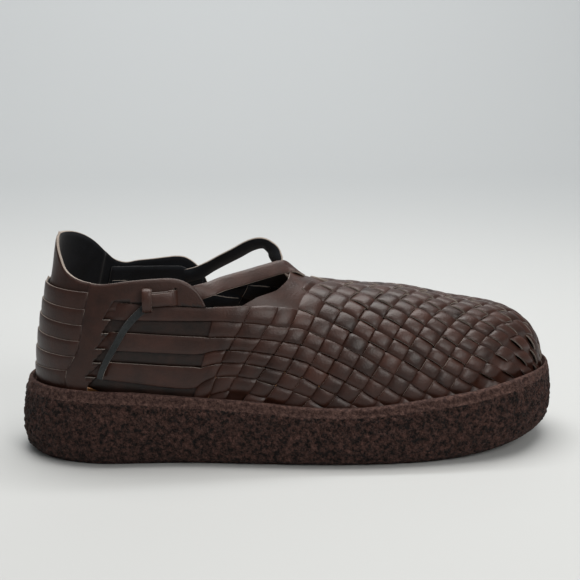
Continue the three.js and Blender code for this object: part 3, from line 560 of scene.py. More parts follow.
# Strips get wider near the foot line, by counts along them, and round the toe, by way
BY_FOOT, BY_FOOT_RUN, WIDER_BY_FOOT = 3, 1.5, 0.06
BY_TOE, BY_TOE_RUN, WIDER_BY_TOE = 95, 25, 0.05
HALF_SPREAD, PLACE_SPREAD = 0.012, 0.02


def reaches_foot(place, start, way):
    """Walks along a strip from a start until it passes the foot line."""
    at = start + way * np.arange(0, 18, 0.2)
    base, _ = vamp_base(*place(at))
    low = base[:, 2] < last_size(base[:, 0], "foot") - FOOT_MARGIN
    return at[np.argmax(low)] if low.any() else at[-1]


def weave_height(count):
    """Height of a strip's middle layer, up over one neighbour and down under the next."""
    wave = np.sin(math.pi * count)
    return MIDDLE + SWING * np.tanh(FLAT_CREST * wave) / math.tanh(FLAT_CREST)


def tile_tones(along):
    """One tone for each tile along a strip."""
    first = int(math.floor(along[0]))
    tones = TONE + TONE_SPREAD * random.standard_normal(int(math.ceil(along[-1])) - first + 2)
    return tones[np.floor(along).astype(int) - first]


def long_strip(sheets, i, ends, mirrored):
    """A strip over the vamp, between two counts along it."""
    start, end = ends
    stations = np.linspace(start, end, max(int((end - start) * PER_CELL), 2))
    by_outer_foot = smooth((stations - end + BY_FOOT) / BY_FOOT_RUN)
    by_foot = by_outer_foot + smooth((start + BY_FOOT - stations) / BY_FOOT_RUN)
    by_toe = smooth((weave_place(i + 0.5, stations)[0] - BY_TOE) / BY_TOE_RUN)
    wider = np.minimum(WIDER_BY_FOOT * by_foot + WIDER_BY_TOE * by_toe, WIDER_BY_FOOT)
    half = (STRIP_HALF + HALF_SPREAD * random.standard_normal() + wider)[:, None]
    u = i + 0.5 + half * ACROSS[None, :] + PLACE_SPREAD * random.standard_normal()
    way, girth = weave_place(u, stations[:, None])
    bases, looks = vamp_base(way, -girth if mirrored else girth)
    heights = weave_height(stations + i + (1 if mirrored else 0))
    tone = tile_tones(stations)
    if mirrored:
        bases, looks, heights, tone = bases[::-1], looks[::-1], heights[::-1], tone[::-1]
    strip_body(sheets, bases, looks, heights, tone)


# The side straps' edges at the counter, from the top: height, and x of the slit's top and bottom end
# Most of them were solved for from the ends of the slits in the photo
STRAPS = np.array(
    [
        (87.8, -97, -102.6), (78.6, -98.4, -103.4), (71.4, -99.7, -106.9), (62.9, -101.7, -108.8),
        (55.4, -104, -113), (47.4, -107.5, -112), (42.2, -111, -111),
    ],
    float,
)  # fmt: skip
STRAP_TUCK = 7.0  # how far the straps run on under the counter
SIDE_COUNT = 6  # strip counts from the weave's rear to the straps' end
TOP_EDGE = -0.97  # no strap goes higher than this count
TOP_STRAP_MIDDLE, TOP_STRAP_HALF = -0.46, 0.5
# Every second strap lies over its neighbours and the others under them
OVER_LIFT, UNDER_LIFT = 1.1, -1.2
OVER_WIDER, UNDER_WIDER = 0.13, 0.17
# The recessed straps get a much darker tone: painted shade, as they lie in the raised straps' shadow
OVER_TONE, UNDER_PAINTED_SHADE_TONE = 0.5, 0.1
DIVE_START, DIVE_RUN = 4.6, 0.8


def side_place(u, v, side):
    """Bases and looks of a side strip: in the weave from u = -2 on, and along the side before that."""
    way, girth = weave_place(np.maximum(u, FIRST_STRIP), np.maximum(v, TOP_EDGE))
    bases, looks = vamp_base(way, girth if side < 0 else -girth)
    start_x, start_z = bases[..., 0], bases[..., 2]
    rows = np.arange(-1, 6)
    end_z = np.interp(v, rows, STRAPS[:, 0])
    end_x = np.interp(v, rows, STRAPS[:, 1]) - STRAP_TUCK
    run = np.clip((FIRST_STRIP - u) / SIDE_COUNT, 0, 1)
    x = start_x + (end_x - start_x) * run
    z = start_z + (end_z - start_z) * smooth(run)
    station = x - lean(x, z)
    back, back_looks = side_base(station, z, side)
    straight = (u < FIRST_STRIP)[..., None]
    return np.where(straight, back, bases), np.where(straight, back_looks, looks)


def side_strip(sheets, j, end, side):
    """A strap along the side, from under the counter forwards and on through the weave to the foot line."""
    before = np.linspace(FIRST_STRIP - SIDE_COUNT, FIRST_STRIP, 40, endpoint=False)
    woven_part = np.linspace(FIRST_STRIP, end, int((end - FIRST_STRIP) * PER_CELL))
    stations = np.concatenate([before, woven_part])
    over = j % 2 != 0
    free = smooth((FIRST_STRIP + 0.6 - stations) / 1.2)[:, None]
    by_foot = smooth((stations - end + BY_FOOT) / BY_FOOT_RUN)[:, None]
    middle = j + 0.5
    half = STRIP_HALF + free * (OVER_WIDER if over else UNDER_WIDER) + by_foot * WIDER_BY_FOOT
    if j == -1:
        middle, half = TOP_STRAP_MIDDLE, TOP_STRAP_HALF
    u, v = np.broadcast_arrays(stations[:, None], middle + half * ACROSS[None, :])
    bases, looks = side_place(u, v, side)
    flat = MIDDLE + (OVER_LIFT if over else UNDER_LIFT)
    woven = weave_height(stations + j + 1)
    dive = smooth((FIRST_STRIP - DIVE_START - stations) / DIVE_RUN)
    straight = flat * (1 - dive) + (MIDDLE + UNDER_LIFT) * dive
    heights = np.where(stations < FIRST_STRIP + 0.5, straight, woven)
    # Before the weave the recessed straps are darkened by painted shade
    tone = np.where(stations < FIRST_STRIP, OVER_TONE if over else UNDER_PAINTED_SHADE_TONE, tile_tones(stations))
    if side < 0:
        bases, looks, heights, tone = bases[::-1], looks[::-1], heights[::-1], tone[::-1]
    strip_body(sheets, bases, looks, heights, tone)


LAST_STRIP = 19
LAST_STRAP = 4
THROAT_GAP = (-3.7, -1.0)  # the rearmost strips stop between these counts, because the throat is there
SHORTEST = 0.6
rising, falling = Sheets(), Sheets()
for i in range(FIRST_STRIP, LAST_STRIP):
    ridge_at = RIDGE_SUM - i - 0.5
    place = partial(weave_place, i + 0.5)
    outer_end = reaches_foot(place, ridge_at + 0.5, 1)
    inner_end = reaches_foot(place, ridge_at - 0.5, -1)
    if outer_end - inner_end < 1:
        continue
    spans = [(inner_end, outer_end)]
    if i <= 0:
        spans = [(inner_end, THROAT_GAP[0]), (THROAT_GAP[1], outer_end)]
    for span in spans:
        if span[1] - span[0] > SHORTEST:
            long_strip(rising, i, span, False)
            long_strip(falling, i, span, True)
for j in range(-1, LAST_STRAP + 1):
    end = reaches_foot(partial(weave_place, v=j + 0.5), FIRST_STRIP + 0.5, 1)
    side_strip(falling, j, end, -1)
    side_strip(rising, j, end, 1)

rising_strips = rising.piece("vamp_strips_rising", LEATHERS)
falling_strips = falling.piece("vamp_strips_falling", LEATHERS)

# The plain yoke round the throat, from the weave's last strips up to the throat's edge
THROAT_LENGTH = 32
THROAT = np.array([(0, 99), (-4, 93.5), (-11, 89.5), (-21, 87.6), (-28, 84.4), (-36, 81)], float)


def throat_edge(t):
    """Way and girth of the throat's edge, from the ridge to the top side strap."""
    x = -THROAT_LENGTH * t
    z = np.interp(-x, -THROAT[:, 0], THROAT[:, 1])
    s = section(x)
    rise = np.clip((z - s["root"]) / s["height"], 0, 0.9999)
    angle = np.arccos(rise ** (s["top"] / 2))
    angles = np.linspace(0, math.pi / 2, 300)
    girths = []
    for k in range(len(x)):
        run = quarter_run(section(np.array(x[k])), "outer", angles)
        girths.append(np.interp(angle[k], angles, run) - max(run[-1] - CROWN_GIRTH, 0))
    girths = np.array(girths)
    girths[0] = min(girths[0], 0.5)
    return x, girths


# The yoke's lower edge in strip counts: down along one rising strip, then back along the top side strap
YOKE_TURN = 0.62
YOKE_U, YOKE_U_RUN = 1.12, 2.5
YOKE_V, YOKE_V_RUN, YOKE_V_BACK = -4.12, 3.25, -0.87
YOKE_LIFT, YOKE_DROP = 1.0, 0.5

yoke = Sheets()
t = np.linspace(0, 1, 41)
lower_u = np.where(t < YOKE_TURN, YOKE_U, YOKE_U - (t - YOKE_TURN) / (1 - YOKE_TURN) * YOKE_U_RUN)
lower_v = np.where(t < YOKE_TURN, YOKE_V + (t / YOKE_TURN) * YOKE_V_RUN, YOKE_V_BACK)
low_way, low_girth = weave_place(lower_u, lower_v)
edge_x, edge_girth = throat_edge(t)
share = np.linspace(0, 1, 9)[:, None]
for side in (-1, 1):
    way = edge_x[None, :] * (1 - share) + low_way[None, :] * share
    girth = edge_girth[None, :] * (1 - share) + low_girth[None, :] * share
    girth[:, 0] = 0.0
    bases, looks = vamp_base(way, np.where(girth <= 0, 1e-3, girth) * (-side))
    lift = YOKE_LIFT - YOKE_DROP * smooth((share[..., None] - 0.8) / 0.2)
    closed_sheet(yoke, bases + looks * (lift + LEATHER), bases + looks * lift, 0.5, flip=side > 0)
throat_yoke = yoke.piece("throat_yoke", LEATHERS, bevel=0.25)
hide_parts("upper")
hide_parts("upper")
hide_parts("upper")

# The top straps' upper margins, which run on under the counter's wings
MARGIN_FRONT, MARGIN_BACK = -51.0, -112.0
MARGIN_LOW, MARGIN_WIDTH, MARGIN_SPREAD, MARGIN_RUN = 82.5, 6, 7, 14
MARGIN_OUT, MARGIN_IN = 1.7, 0.3
margins = Sheets()
margin_x = np.linspace(MARGIN_BACK, MARGIN_FRONT, 40)[:, None]
margin_width = MARGIN_WIDTH + MARGIN_SPREAD * smooth((MARGIN_FRONT - margin_x) / MARGIN_RUN)
margin_z = MARGIN_LOW + np.linspace(0, 1, 6)[None, :] * margin_width
for side in (-1, 1):
    bases, looks = side_base(margin_x, margin_z, side)
    closed_sheet(margins, bases + looks * MARGIN_OUT, bases + looks * MARGIN_IN, 0.4, flip=side > 0)
strap_margins = margins.piece("top_strap_margins", [waxed_leather, suede_back, suede_back])
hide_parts("upper")


# The counter. A turn of 0 is the back of the heel, and of 1 the end of its round part on either side
SIDE_PER_TURN = 60
# Height of the rim by the turn, on the outer and inner side, mostly solved for from the rim in the photo
COUNTER_TOP = np.array(
    [
        (0, 118.8, 118.8), (0.1, 117.4, 119.2), (0.2, 113.2, 119), (0.3, 108.3, 118.4), (0.4, 103, 117),
        (0.5, 100, 114.6), (0.6, 98.1, 110.8), (0.7, 97.1, 105.4), (0.8, 96.7, 99.8), (0.9, 97.4, 97.6),
        (1, 98.4, 98.6), (1.2, 99.1, 99.5), (1.4, 99.4, 100.6), (1.5, 99.3, 101), (1.6, 98.1, 100.2),
        (1.7, 94.6, 96), (1.76, 90.4, 91.2), (1.81, 84, 84.2), (1.86, 76, 76),
    ],
    float,
)  # fmt: skip
COUNTER_BOTTOM = 36.6
HEEL_TURN, WING_TURN = 0.6, 1.84
WING_X, WING_BOTTOM, WING_BACK = -48.6, 84.4, (-96, 88.7)
# The wall stands proud in front of the bands' ends, and flares out round the back tab
PROUD, PROUD_BEHIND, PROUD_RUN = 2.1, 1.2, 2.2
FLARE, FLARE_BOTTOM, FLARE_RISE, FLARE_FRONT, FLARE_RUN = 2, 96, 24, -112, 20
# Heights of the bands' edges at the back of the heel and at their ends
BANDS = np.array(
    [(93, 91.5), (84, 82.5), (76, 74), (67, 65.5), (57.5, 57), (47.5, 49), (37.4, 37.2)], float
)  # fmt: skip
BAND_END_X, BAND_END_SHIFT, BAND_SHIFT_TOP, BAND_SHIFT_RUN = -117.0, 6.0, 64, 18
# What is cut off below the wings and in front of the teeth, and the slot for the instep strap
CUT_BACK, CUT_FRONT, CUT_BOTTOM, CUT_REACH = -113.5, -30, 30, 90
SLIT_X, SLIT_Z, SLIT_HALF_WIDTH, SLIT_HALF_HEIGHT = -64.2, 90.5, 0.5, 4.4


def band_end(z):
    return BAND_END_X - BAND_END_SHIFT * smooth((BAND_SHIFT_TOP - z) / BAND_SHIFT_RUN)


def turn_at(station):
    cosine = np.clip(1 - (station - HEEL_X) / HEEL_LENGTH, 0, 1)
    return np.arccos(cosine ** (HEEL_POWER / 2)) / (math.pi / 2)


def heel_station(turn):
    t = np.maximum(np.abs(turn), 0.004)
    round_part = HEEL_X + HEEL_LENGTH * (1 - np.cos(np.minimum(t, 1) * math.pi / 2) ** (2 / HEEL_POWER))
    return np.where(t >= 1, HEEL_X + HEEL_LENGTH + (t - 1) * SIDE_PER_TURN, round_part)


def cut_from_side(piece, outlines):
    """Cuts prisms across the shoe out of a piece, from outlines seen from the side."""
    for outline in outlines:
        count = len(outline)
        points = [(x, y, z) for y in (-CUT_REACH, CUT_REACH) for x, z in outline]
        faces = [list(range(count)), list(range(count, 2 * count))[::-1]]
        faces += [[(k + 1) % count, k, k + count, (k + 1) % count + count] for k in range(count)]
        mesh = bpy.data.meshes.new("cutter")
        mesh.from_pydata(metres(points).tolist(), [], faces)
        for material in LEATHERS:
            mesh.materials.append(material)
        mesh.polygons.foreach_set("material_index", [2] * len(faces))
        mesh.update()
        cutter = bpy.data.objects.new("cutter", mesh)
        bpy.context.scene.collection.objects.link(cutter)
        turned = bmesh.new()
        turned.from_mesh(mesh)
        bmesh.ops.recalc_face_normals(turned, faces=turned.faces)
        turned.to_mesh(mesh)
        turned.free()
        modifier = piece.modifiers.new("cut", "BOOLEAN")
        modifier.operation = "DIFFERENCE"
        modifier.solver = "EXACT"
        modifier.object = cutter
        shown = piece.evaluated_get(bpy.context.evaluated_depsgraph_get())
        cut = bpy.data.meshes.new_from_object(shown)
        piece.modifiers.remove(modifier)
        piece.data = cut
        bpy.data.objects.remove(cutter)


counter = Sheets()
turns = np.concatenate(
    [
        np.linspace(-WING_TURN, -HEEL_TURN, 90),
        np.linspace(-HEEL_TURN, HEEL_TURN, 80)[1:-1],
        np.linspace(HEEL_TURN, WING_TURN, 90),
    ]
)
stations = heel_station(turns)
sides = np.where(turns < 0, -1, 1)
tops = np.where(
    turns < 0,
    curve(COUNTER_TOP[:, 0], COUNTER_TOP[:, 1], np.abs(turns)),
    curve(COUNTER_TOP[:, 0], COUNTER_TOP[:, 2], np.abs(turns)),
)
rows = np.linspace(0, 1, 29)[:, None]
heights = COUNTER_BOTTOM * (1 - rows) + tops[None, :] * rows
grid_stations = np.broadcast_to(stations, heights.shape)
bases, looks = side_base(grid_stations, heights, sides[None, :])
proud = smooth((grid_stations - band_end(heights) + PROUD_BEHIND) / PROUD_RUN) * PROUD
flare = FLARE * smooth((heights - FLARE_BOTTOM) / FLARE_RISE)
flare = flare * smooth((FLARE_FRONT - grid_stations) / FLARE_RUN)
lift = (proud + flare)[..., None]
closed_sheet(counter, bases + looks * (lift + LEATHER), bases + looks * lift, 0.45)
heel_counter = counter.piece("heel_counter_leather", LEATHERS)
teeth = []
for (top, upper_x, lower_x), (low, _, _) in zip(STRAPS, STRAPS[1:]):
    teeth += [(upper_x, top), (lower_x, low)]
front = [(CUT_BACK, CUT_BOTTOM), *teeth[::-1], WING_BACK, (WING_X, WING_BOTTOM)]
front += [(CUT_FRONT, WING_BOTTOM), (CUT_FRONT, CUT_BOTTOM)]
corners = ((-1, -1), (1, -1), (1, 1), (-1, 1))
slit = [(SLIT_X + a * SLIT_HALF_WIDTH, SLIT_Z + b * SLIT_HALF_HEIGHT) for a, b in corners]
cut_from_side(heel_counter, [front, slit])
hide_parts("heel_counter")

# The bands round the heel: flat strips, each lapped by the one below
BAND_STATIONS = 61
BAND_OVER, BAND_UNDER = 0.7, 1.5  # how far a band goes past its edges, upwards and downwards
BAND_LIFT, BAND_LAP, BAND_DIVE, BAND_DIVE_RUN = 2.3, 1.1, 0.7, 4
BAND_TONE, BAND_TONE_SPREAD = 0.4, 0.12
bands = Sheets()
for row in range(len(BANDS) - 1):
    share = np.linspace(-1, 1, BAND_STATIONS)
    side = np.where(share < 0, -1, 1)
    bases_rows, looks_rows, lifts = [], [], []
    top, bottom = BANDS[row] + BAND_OVER, BANDS[row + 1] - BAND_UNDER
    for a in ACROSS:
        mix = (a + 1) / 2
        back = bottom[0] * (1 - mix) + top[0] * mix
        slit_z = bottom[1] * (1 - mix) + top[1] * mix
        z = back + (slit_z - back) * smooth(np.abs(share))
        station = heel_station(share * turn_at(band_end(z) + 0.3))
        base, look = side_base(station, z, side)
        bases_rows.append(base)
        looks_rows.append(look)
        dive = smooth((station - band_end(z) + BAND_DIVE_RUN) / BAND_DIVE_RUN)
        lifts.append(BAND_LIFT + BAND_LAP * mix - BAND_DIVE * dive)
    bases = np.stack(bases_rows, 1)
    looks = np.stack(looks_rows, 1)
    bases = bases + looks * np.stack(lifts, 1)[..., None]
    tone = np.full(BAND_STATIONS, BAND_TONE + BAND_TONE_SPREAD * random.random())
    strip_body(bands, bases[::-1], looks[::-1], np.zeros(BAND_STATIONS), tone)
heel_bands = bands.piece("heel_band_strips", LEATHERS)
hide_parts("heel_bands")

# The instep straps: points over the throat, then places on the wall as x, height and distance from the last
SLOT_Z = 89.5
STRAP_PATHS = {
    "lateral": [
        (5, 3, 94.5), (0.5, 0.5, 98.6), (-5, -2.6, 100.2), (-14, -7.5, 99), (-27.6, -16, 96.8),
        (-39, -22.5, 94.9), (-46.5, -27.4, 93),
    ],
    "medial": [
        (0, -3, 94.5), (-5, 0.6, 98.6), (-8.5, 4, 104), (-11.5, 8, 109), (-16.5, 12, 111.4),
        (-23, 16, 109.5), (-31, 20.5, 104.5), (-39, 24.5, 99.8), (-46, 27.5, 95.6),
    ],
}  # fmt: skip
STRAP_ON_WALL = [(-54, 91.2, 0.8), (-61.5, SLOT_Z, 0.9), (-65, SLOT_Z - 0.2, 4.6), (-68, SLOT_Z - 0.4, 4.9)]
STRAP_HALF = 4.1
STRAP_TURN, STRAP_OUT, STRAP_UP = 2.5, 0.85, 0.5  # points until it faces the side, and how far it does
# The knot: a roll along the wall with a second layer on it, and a loop round its rear end in two layers
KNOT_ROLL = [(-65.5, 89.2, 4.6), (-69, 89, 5.2), (-74, 88.8, 5.6), (-79, 88.6, 5.8), (-82, 88.5, 5.6)]
ROLL_HALF, TOP_ROLL_HALF, TOP_ROLL_LIFT = 3.8, 3.1, 1.4
LOOP_X, LOOP_Z, LOOP_OFFSET = -79.6, 88.4, 5.8
LOOP_UP, LOOP_OUT, LOOP_HALF = 5.7, 3.0, 2.5
INNER_LOOP, INNER_LOOP_HALF = 0.72, 1.9
TAIL_LINE = [(-80.7, 84.6), (-86, 80), (-91, 74), (-96.6, 64), (-99.8, 58), (-102.8, 51.5), (-104, 47.5)]
TAIL_OFFSET, TAIL_HALF, TAIL_END_HALF = 5.6, 2.0, 1.5


def ribbon(sheets, path, looks, half, tone, steps):
    """A strip of leather along a smooth line."""
    path, looks = np.array(path, float), np.array(looks, float)
    marks = np.concatenate([[0], np.cumsum(np.linalg.norm(np.diff(path, axis=0), axis=1))])
    at = np.linspace(0, marks[-1], steps)
    line = np.stack([curve(marks, path[:, k], at) for k in range(3)], -1)
    look = np.stack([curve(marks, looks[:, k], at) for k in range(3)], -1)
    along = np.gradient(line, axis=0)
    along /= np.linalg.norm(along, axis=1, keepdims=True)
    across = np.cross(along, look)
    across /= np.linalg.norm(across, axis=1, keepdims=True)
    look = np.cross(across, along)
    halves = np.broadcast_to(np.asarray(half, float), at.shape)
    bases = line[:, None, :] + across[:, None, :] * (ACROSS[None, :] * halves[:, None])[..., None]
    looks_grid = np.broadcast_to(look[:, None, :], bases.shape)
    strip_body(sheets, bases[::-1], looks_grid[::-1], np.zeros(steps), np.full(steps, tone))


def on_wall(x, z, side, offset):
    base, look = side_base(np.array(float(x - lean(x, z))), np.array(float(z)), side)
    return base + look * offset, look


def wall_line(places, side):
    """Points and looks of a line along the wall."""
    found = [on_wall(x, z, side, offset) for x, z, offset in places]
    return [point for point, _ in found], [look for _, look in found]


for name, side in (("lateral", -1), ("medial", 1)):
    strap = Sheets()
    path = [np.array(p, float) for p in STRAP_PATHS[name]]
    turned = smooth(np.arange(len(path)) / STRAP_TURN)
    looks = [np.array([0, side * STRAP_OUT * t, 1 - STRAP_UP * t]) for t in turned]
    wall_points, wall_looks = wall_line(STRAP_ON_WALL, side)
    ribbon(strap, path + wall_points, looks + wall_looks, STRAP_HALF, 0.55, steps=90)
    piece = strap.piece("instep_strap_" + name + "_leather", LEATHERS)
    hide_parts("instep_strap_" + name)

    knot = Sheets()
    roll, roll_looks = wall_line(KNOT_ROLL, side)
    ribbon(knot, roll, roll_looks, ROLL_HALF, 0.4, steps=30)
    top_roll = [p + l * TOP_ROLL_LIFT for p, l in zip(roll, roll_looks)]
    ribbon(knot, top_roll, roll_looks, TOP_ROLL_HALF, 0.6, steps=30)
    centre, out = on_wall(LOOP_X, LOOP_Z, side, LOOP_OFFSET)
    up = np.array([0, 0, 1.0])
    loop, loop_looks = [], []
    for k in range(17):
        angle = k / 16 * 2 * math.pi
        loop.append(centre + (up * math.cos(angle) * LOOP_UP + out * math.sin(angle) * LOOP_OUT))
        loop_looks.append(up * math.cos(angle) + out * math.sin(angle))
    ribbon(knot, loop, loop_looks, LOOP_HALF, 0.6, steps=48)
    inner_loop = [centre + (p - centre) * INNER_LOOP for p in loop]
    ribbon(knot, inner_loop, loop_looks, INNER_LOOP_HALF, 0.4, steps=48)
    piece = knot.piece("strap_knot_" + name + "_leather", LEATHERS)
    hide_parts("strap_knot_" + name)

    tail = Sheets()
    tail_path, tail_looks = wall_line([(x, z, TAIL_OFFSET) for x, z in TAIL_LINE], side)
    ribbon(tail, tail_path, tail_looks, np.linspace(TAIL_HALF, TAIL_END_HALF, 40), 0.6, steps=40)
    piece = tail.piece("strap_tail_" + name + "_suede", [suede_tail, suede_tail, raw_edge])
    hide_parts("strap_tail_" + name)

# The sole. Each ring has its distance out from the last and its share of the height from ground to rim
SOLE_RINGS = [
    (5.5, 0.0), (9.6, 0.09), (11.4, 0.3), (11.0, 0.55), (9.0, 0.86), (7.9, 0.91), (7.4, 0.985), (6.6, 1.0),
]  # fmt: skip
LIP_RING = 4  # from this ring up the crepe is the paler lip
SOLE_HEIGHT = 45  # about a ring for each millimetre of it
TOE_TRIM, TOE_TRIM_START, TOE_TRIM_RUN = 0.37, 115, 30  # the sole stands out less round the toe
SPRING_START, SPRING, SPRING_POWER = 58.0, 10.0, 1.8
# Room between last and sole for the leather, and more of it round the heel
WALL_ROOM, HEEL_ROOM, HEEL_ROOM_FRONT, HEEL_ROOM_RUN = 2.1, 1.4, -88, 16
# Parameter of the outline: the heel up to 1, then the side, and the nose from NOSE_FROM on
SIDE_SPAN, NOSE_FROM, NOSE_END = 2.2, 3.2, 4.2
# The crepe's relief: size of its lumps and waves, and how far they go in and out
LUMP_MM, WAVE_MM, WAVE_SHARE = 2.5, 8.0, 0.3
LUMP_ROUGHNESS, LUMP_FINENESS, LUMP_LAYERS = 0.7, 2.1, 2
RELIEF, RELIEF_SHIFT, RELIEF_IN, RELIEF_OUT = 1.1, 0.1, -0.8, 0.4


def ground(x):
    return SPRING * np.maximum((x - SPRING_START) / (TOE_X - SPRING_START), 0) ** SPRING_POWER


def outline(count):
    """The last's outline at its root, evenly spaced, with the way out at each point."""
    t = np.linspace(0, NOSE_END, 400)[1:-1]
    straight = HEEL_X + HEEL_LENGTH + (TOE_X - TOE_LENGTH - HEEL_X - HEEL_LENGTH) * (t - 1) / SIDE_SPAN
    quarter = np.clip(t - NOSE_FROM, 0, 1) * math.pi / 2
    nose = TOE_X - TOE_LENGTH + TOE_LENGTH * np.sin(quarter) ** (2 / TOE_WIDTH_POWER)
    x = np.where(t < 1, heel_station(np.minimum(t, 1)), np.where(t < NOSE_FROM, straight, nose))
    s = section(x)
    outer = np.stack([x, s["centre"] - s["outer"]], -1)
    inner = np.stack([x, s["centre"] + s["inner"]], -1)[::-1]
    toe = [[TOE_X, float(last_size(TOE_X, "centre"))]]
    line = np.concatenate([[[HEEL_X, 0.0]], outer, toe, inner, [[HEEL_X, 0.0]]])
    marks = np.concatenate([[0], np.cumsum(np.linalg.norm(np.diff(line, axis=0), axis=1))])
    at = np.linspace(0, marks[-1], count, endpoint=False)
    even = np.stack([np.interp(at, marks, line[:, 0]), np.interp(at, marks, line[:, 1])], -1)
    along = np.roll(even, -1, axis=0) - np.roll(even, 1, axis=0)
    along = (np.roll(along, 1, axis=0) + along * 2 + np.roll(along, -1, axis=0)) / 4
    out = np.stack([along[:, 1], -along[:, 0]], -1)
    return even, out / np.linalg.norm(out, axis=1, keepdims=True)


COUNT = 900
line, out = outline(COUNT)
trim = 1 - TOE_TRIM * smooth((line[:, 0] - TOE_TRIM_START) / TOE_TRIM_RUN)
wall = LEATHER + WALL_ROOM + HEEL_ROOM * smooth((HEEL_ROOM_FRONT - line[:, 0]) / HEEL_ROOM_RUN)
rings, ring_materials = [], []
for k in range(len(SOLE_RINGS) - 1):
    (a, sa), (b, sb) = SOLE_RINGS[k], SOLE_RINGS[k + 1]
    steps = max(int(abs(sb - sa) * SOLE_HEIGHT), 1)
    for m in range(steps):
        t = m / steps
        rings.append((a + (b - a) * t, sa + (sb - sa) * t))
        ring_materials.append(1 if k >= LIP_RING else 0)
rings.append(SOLE_RINGS[-1])


def ring_points(distance, height):
    """A ring round the last at a distance out and a height."""
    p = line + out * np.asarray(distance)[..., None]
    return np.column_stack([p, height])


def ring_faces(count):
    """Faces between that many rings, and over both ends."""
    found = []
    for r in range(count - 1):
        for k in range(COUNT):
            n = (k + 1) % COUNT
            found.append([r * COUNT + k, r * COUNT + n, (r + 1) * COUNT + n, (r + 1) * COUNT + k])
    found.append(list(range(COUNT))[::-1])
    found.append([(count - 1) * COUNT + k for k in range(COUNT)])
    return found


levels = []
for distance, share in rings:
    reach = distance * trim
    x = line[:, 0] + out[:, 0] * reach
    floor_z = ground(x)
    levels.append(ring_points(reach, floor_z + share * (last_size(x, "rim") - floor_z)))
for distance, drop in ((wall + 0.5, 0.0), (wall, 0.8), (wall, 5.4)):
    x = line[:, 0] + out[:, 0] * distance
    levels.append(ring_points(distance, last_size(x, "rim") - drop))
    ring_materials.append(1)
sole_points = np.concatenate(levels)
crumbled = (len(rings) - 2) * COUNT
for k in range(COUNT, crumbled):
    place = Vector(sole_points[k])
    lump = noise.fractal(place / LUMP_MM, LUMP_ROUGHNESS, LUMP_FINENESS, LUMP_LAYERS)
    lump += WAVE_SHARE * noise.noise(place / WAVE_MM)
    out_x, out_y = out[k % COUNT]
    relief = min(max(RELIEF * lump - RELIEF_SHIFT, RELIEF_IN), RELIEF_OUT)
    sole_points[k] += np.array([out_x, out_y, 0.0]) * relief
faces = ring_faces(len(levels))
face_materials = [material for material in ring_materials for _ in range(COUNT)] + [0, 0]
crepe_sole = make_piece("crepe_sole", sole_points, faces, face_materials, [crepe_rubber, crepe_lip])
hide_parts("outsole")

# The footbed
# It lies in from the last's outline, more so round the nose and in front of the heel, where it is thinner
INSET, TOE_INSET, TOE_INSET_START, TOE_INSET_RUN = 2, 2.3, 75, 65
WAIST_X, WAIST_INSET, WAIST_RUN = -88, 3.5, 14
FOOTBED_LIFT, FOOTBED_THINNING, FOOTBED_THIN_RUN = 0.4, 0.7, 10
# Its rings: distance out from the inset line, and height over its underside
FOOTBED_RINGS = [(-0.6, 0.0), (0, 0.5), (0, 3.0), (-0.6, 3.5), (-4, 3.6)]
by_nose = smooth((line[:, 0] - TOE_INSET_START) / TOE_INSET_RUN)
before_heel = smooth((line[:, 0] - WAIST_X) / WAIST_RUN)
inset = -INSET - TOE_INSET * by_nose - WAIST_INSET * before_heel
footbed_levels = []
for offset, rise in FOOTBED_RINGS:
    distance = inset + offset
    x = line[:, 0] + out[:, 0] * distance
    thin = 1 - FOOTBED_THINNING * smooth((x - WAIST_X) / FOOTBED_THIN_RUN)
    footbed_levels.append(ring_points(distance, last_size(x, "foot") + FOOTBED_LIFT + rise * thin))
faces = ring_faces(len(footbed_levels))
footbed_points = np.concatenate(footbed_levels)
footbed = make_piece("footbed", footbed_points, faces, [0] * len(faces), [footbed_leather])
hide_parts("insole")


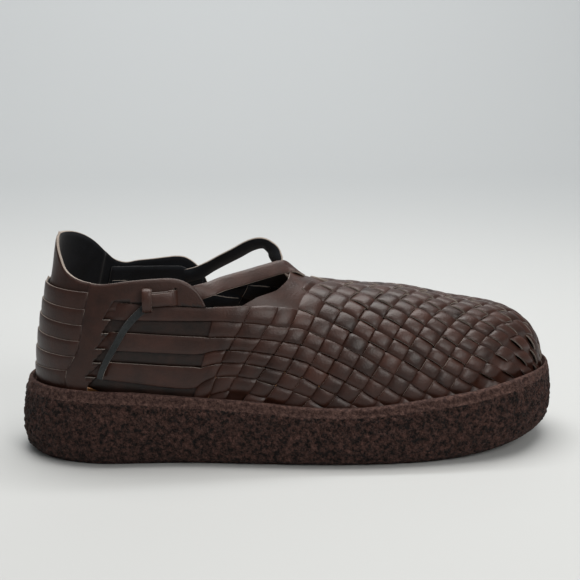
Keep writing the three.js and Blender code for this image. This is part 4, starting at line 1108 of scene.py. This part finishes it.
# Floor and light
def area_light(name, place, aim, size, power, colour):
    """A rectangular softbox that looks at its aim."""
    light = bpy.data.lights.new(name, "AREA")
    light.shape = "RECTANGLE"
    light.size, light.size_y = size
    light.energy = power
    light.color = colour
    lamp = bpy.data.objects.new(name, light)
    lamp.location = place
    direction = np.array(aim) - np.array(place)
    flat = math.hypot(direction[0], direction[1])
    heading = math.atan2(direction[1], direction[0]) - math.pi / 2
    lamp.rotation_euler = (math.atan2(flat, -direction[2]), 0, heading)
    bpy.context.scene.collection.objects.link(lamp)


# A paper sweep: flat under the shoe and curved up behind it
SWEEP_START, SWEEP_RADIUS = 1.6, 1.4
SWEEP_FRONT, SWEEP_TOP, SWEEP_SIDE = -4.0, 6.0, 7
sweep = [(SWEEP_FRONT, 0.0)]
for k in range(25):
    angle = k / 24 * math.pi / 2
    sweep.append((SWEEP_START + SWEEP_RADIUS * math.sin(angle), SWEEP_RADIUS * (1 - math.cos(angle))))
sweep.append((SWEEP_START + SWEEP_RADIUS, SWEEP_TOP))
floor_mesh = bpy.data.meshes.new("floor")
floor_points = [(x, y, z) for y, z in sweep for x in (-SWEEP_SIDE, SWEEP_SIDE)]
floor_faces = [(2 * k, 2 * k + 1, 2 * k + 3, 2 * k + 2) for k in range(len(sweep) - 1)]
floor_mesh.from_pydata(floor_points, [], floor_faces)
floor_mesh.polygons.foreach_set("use_smooth", [True] * (len(sweep) - 1))
floor = bpy.data.objects.new("floor", floor_mesh)
floor_paint, floor_tree = new_material("floor_paint")
paper = {"Base Color": linear("#b9bbbb"), "Roughness": 0.7}
floor_shader = add_node(floor_tree, "ShaderNodeBsdfPrincipled", paper)
add_node(floor_tree, "ShaderNodeOutputMaterial", {"Surface": floor_shader.outputs[0]})
floor_mesh.materials.append(floor_paint)
bpy.context.scene.collection.objects.link(floor)

world = bpy.data.worlds.new("studio")
world.use_nodes = True
world.node_tree.nodes["Background"].inputs["Color"].default_value = linear("#dfe1e2")
world.node_tree.nodes["Background"].inputs["Strength"].default_value = 0.3
bpy.context.scene.world = world
WARM, COOL = (1.0, 0.97, 0.93), (0.98, 0.99, 1.0)
area_light("top_softbox", (0.05, 0.12, 1.1), (0.02, 0, 0), (1.0, 0.7), 13, WARM)
area_light("toe_softbox", (0.55, -0.95, 0.75), (0.04, 0, 0.05), (0.55, 0.55), 6.5, WARM)
area_light("sweep_softbox", (0, 1.0, 2.6), (0, 3.2, 0.9), (4.0, 0.6), 92, COOL)
bpy.context.scene.view_settings.view_transform = "Standard"
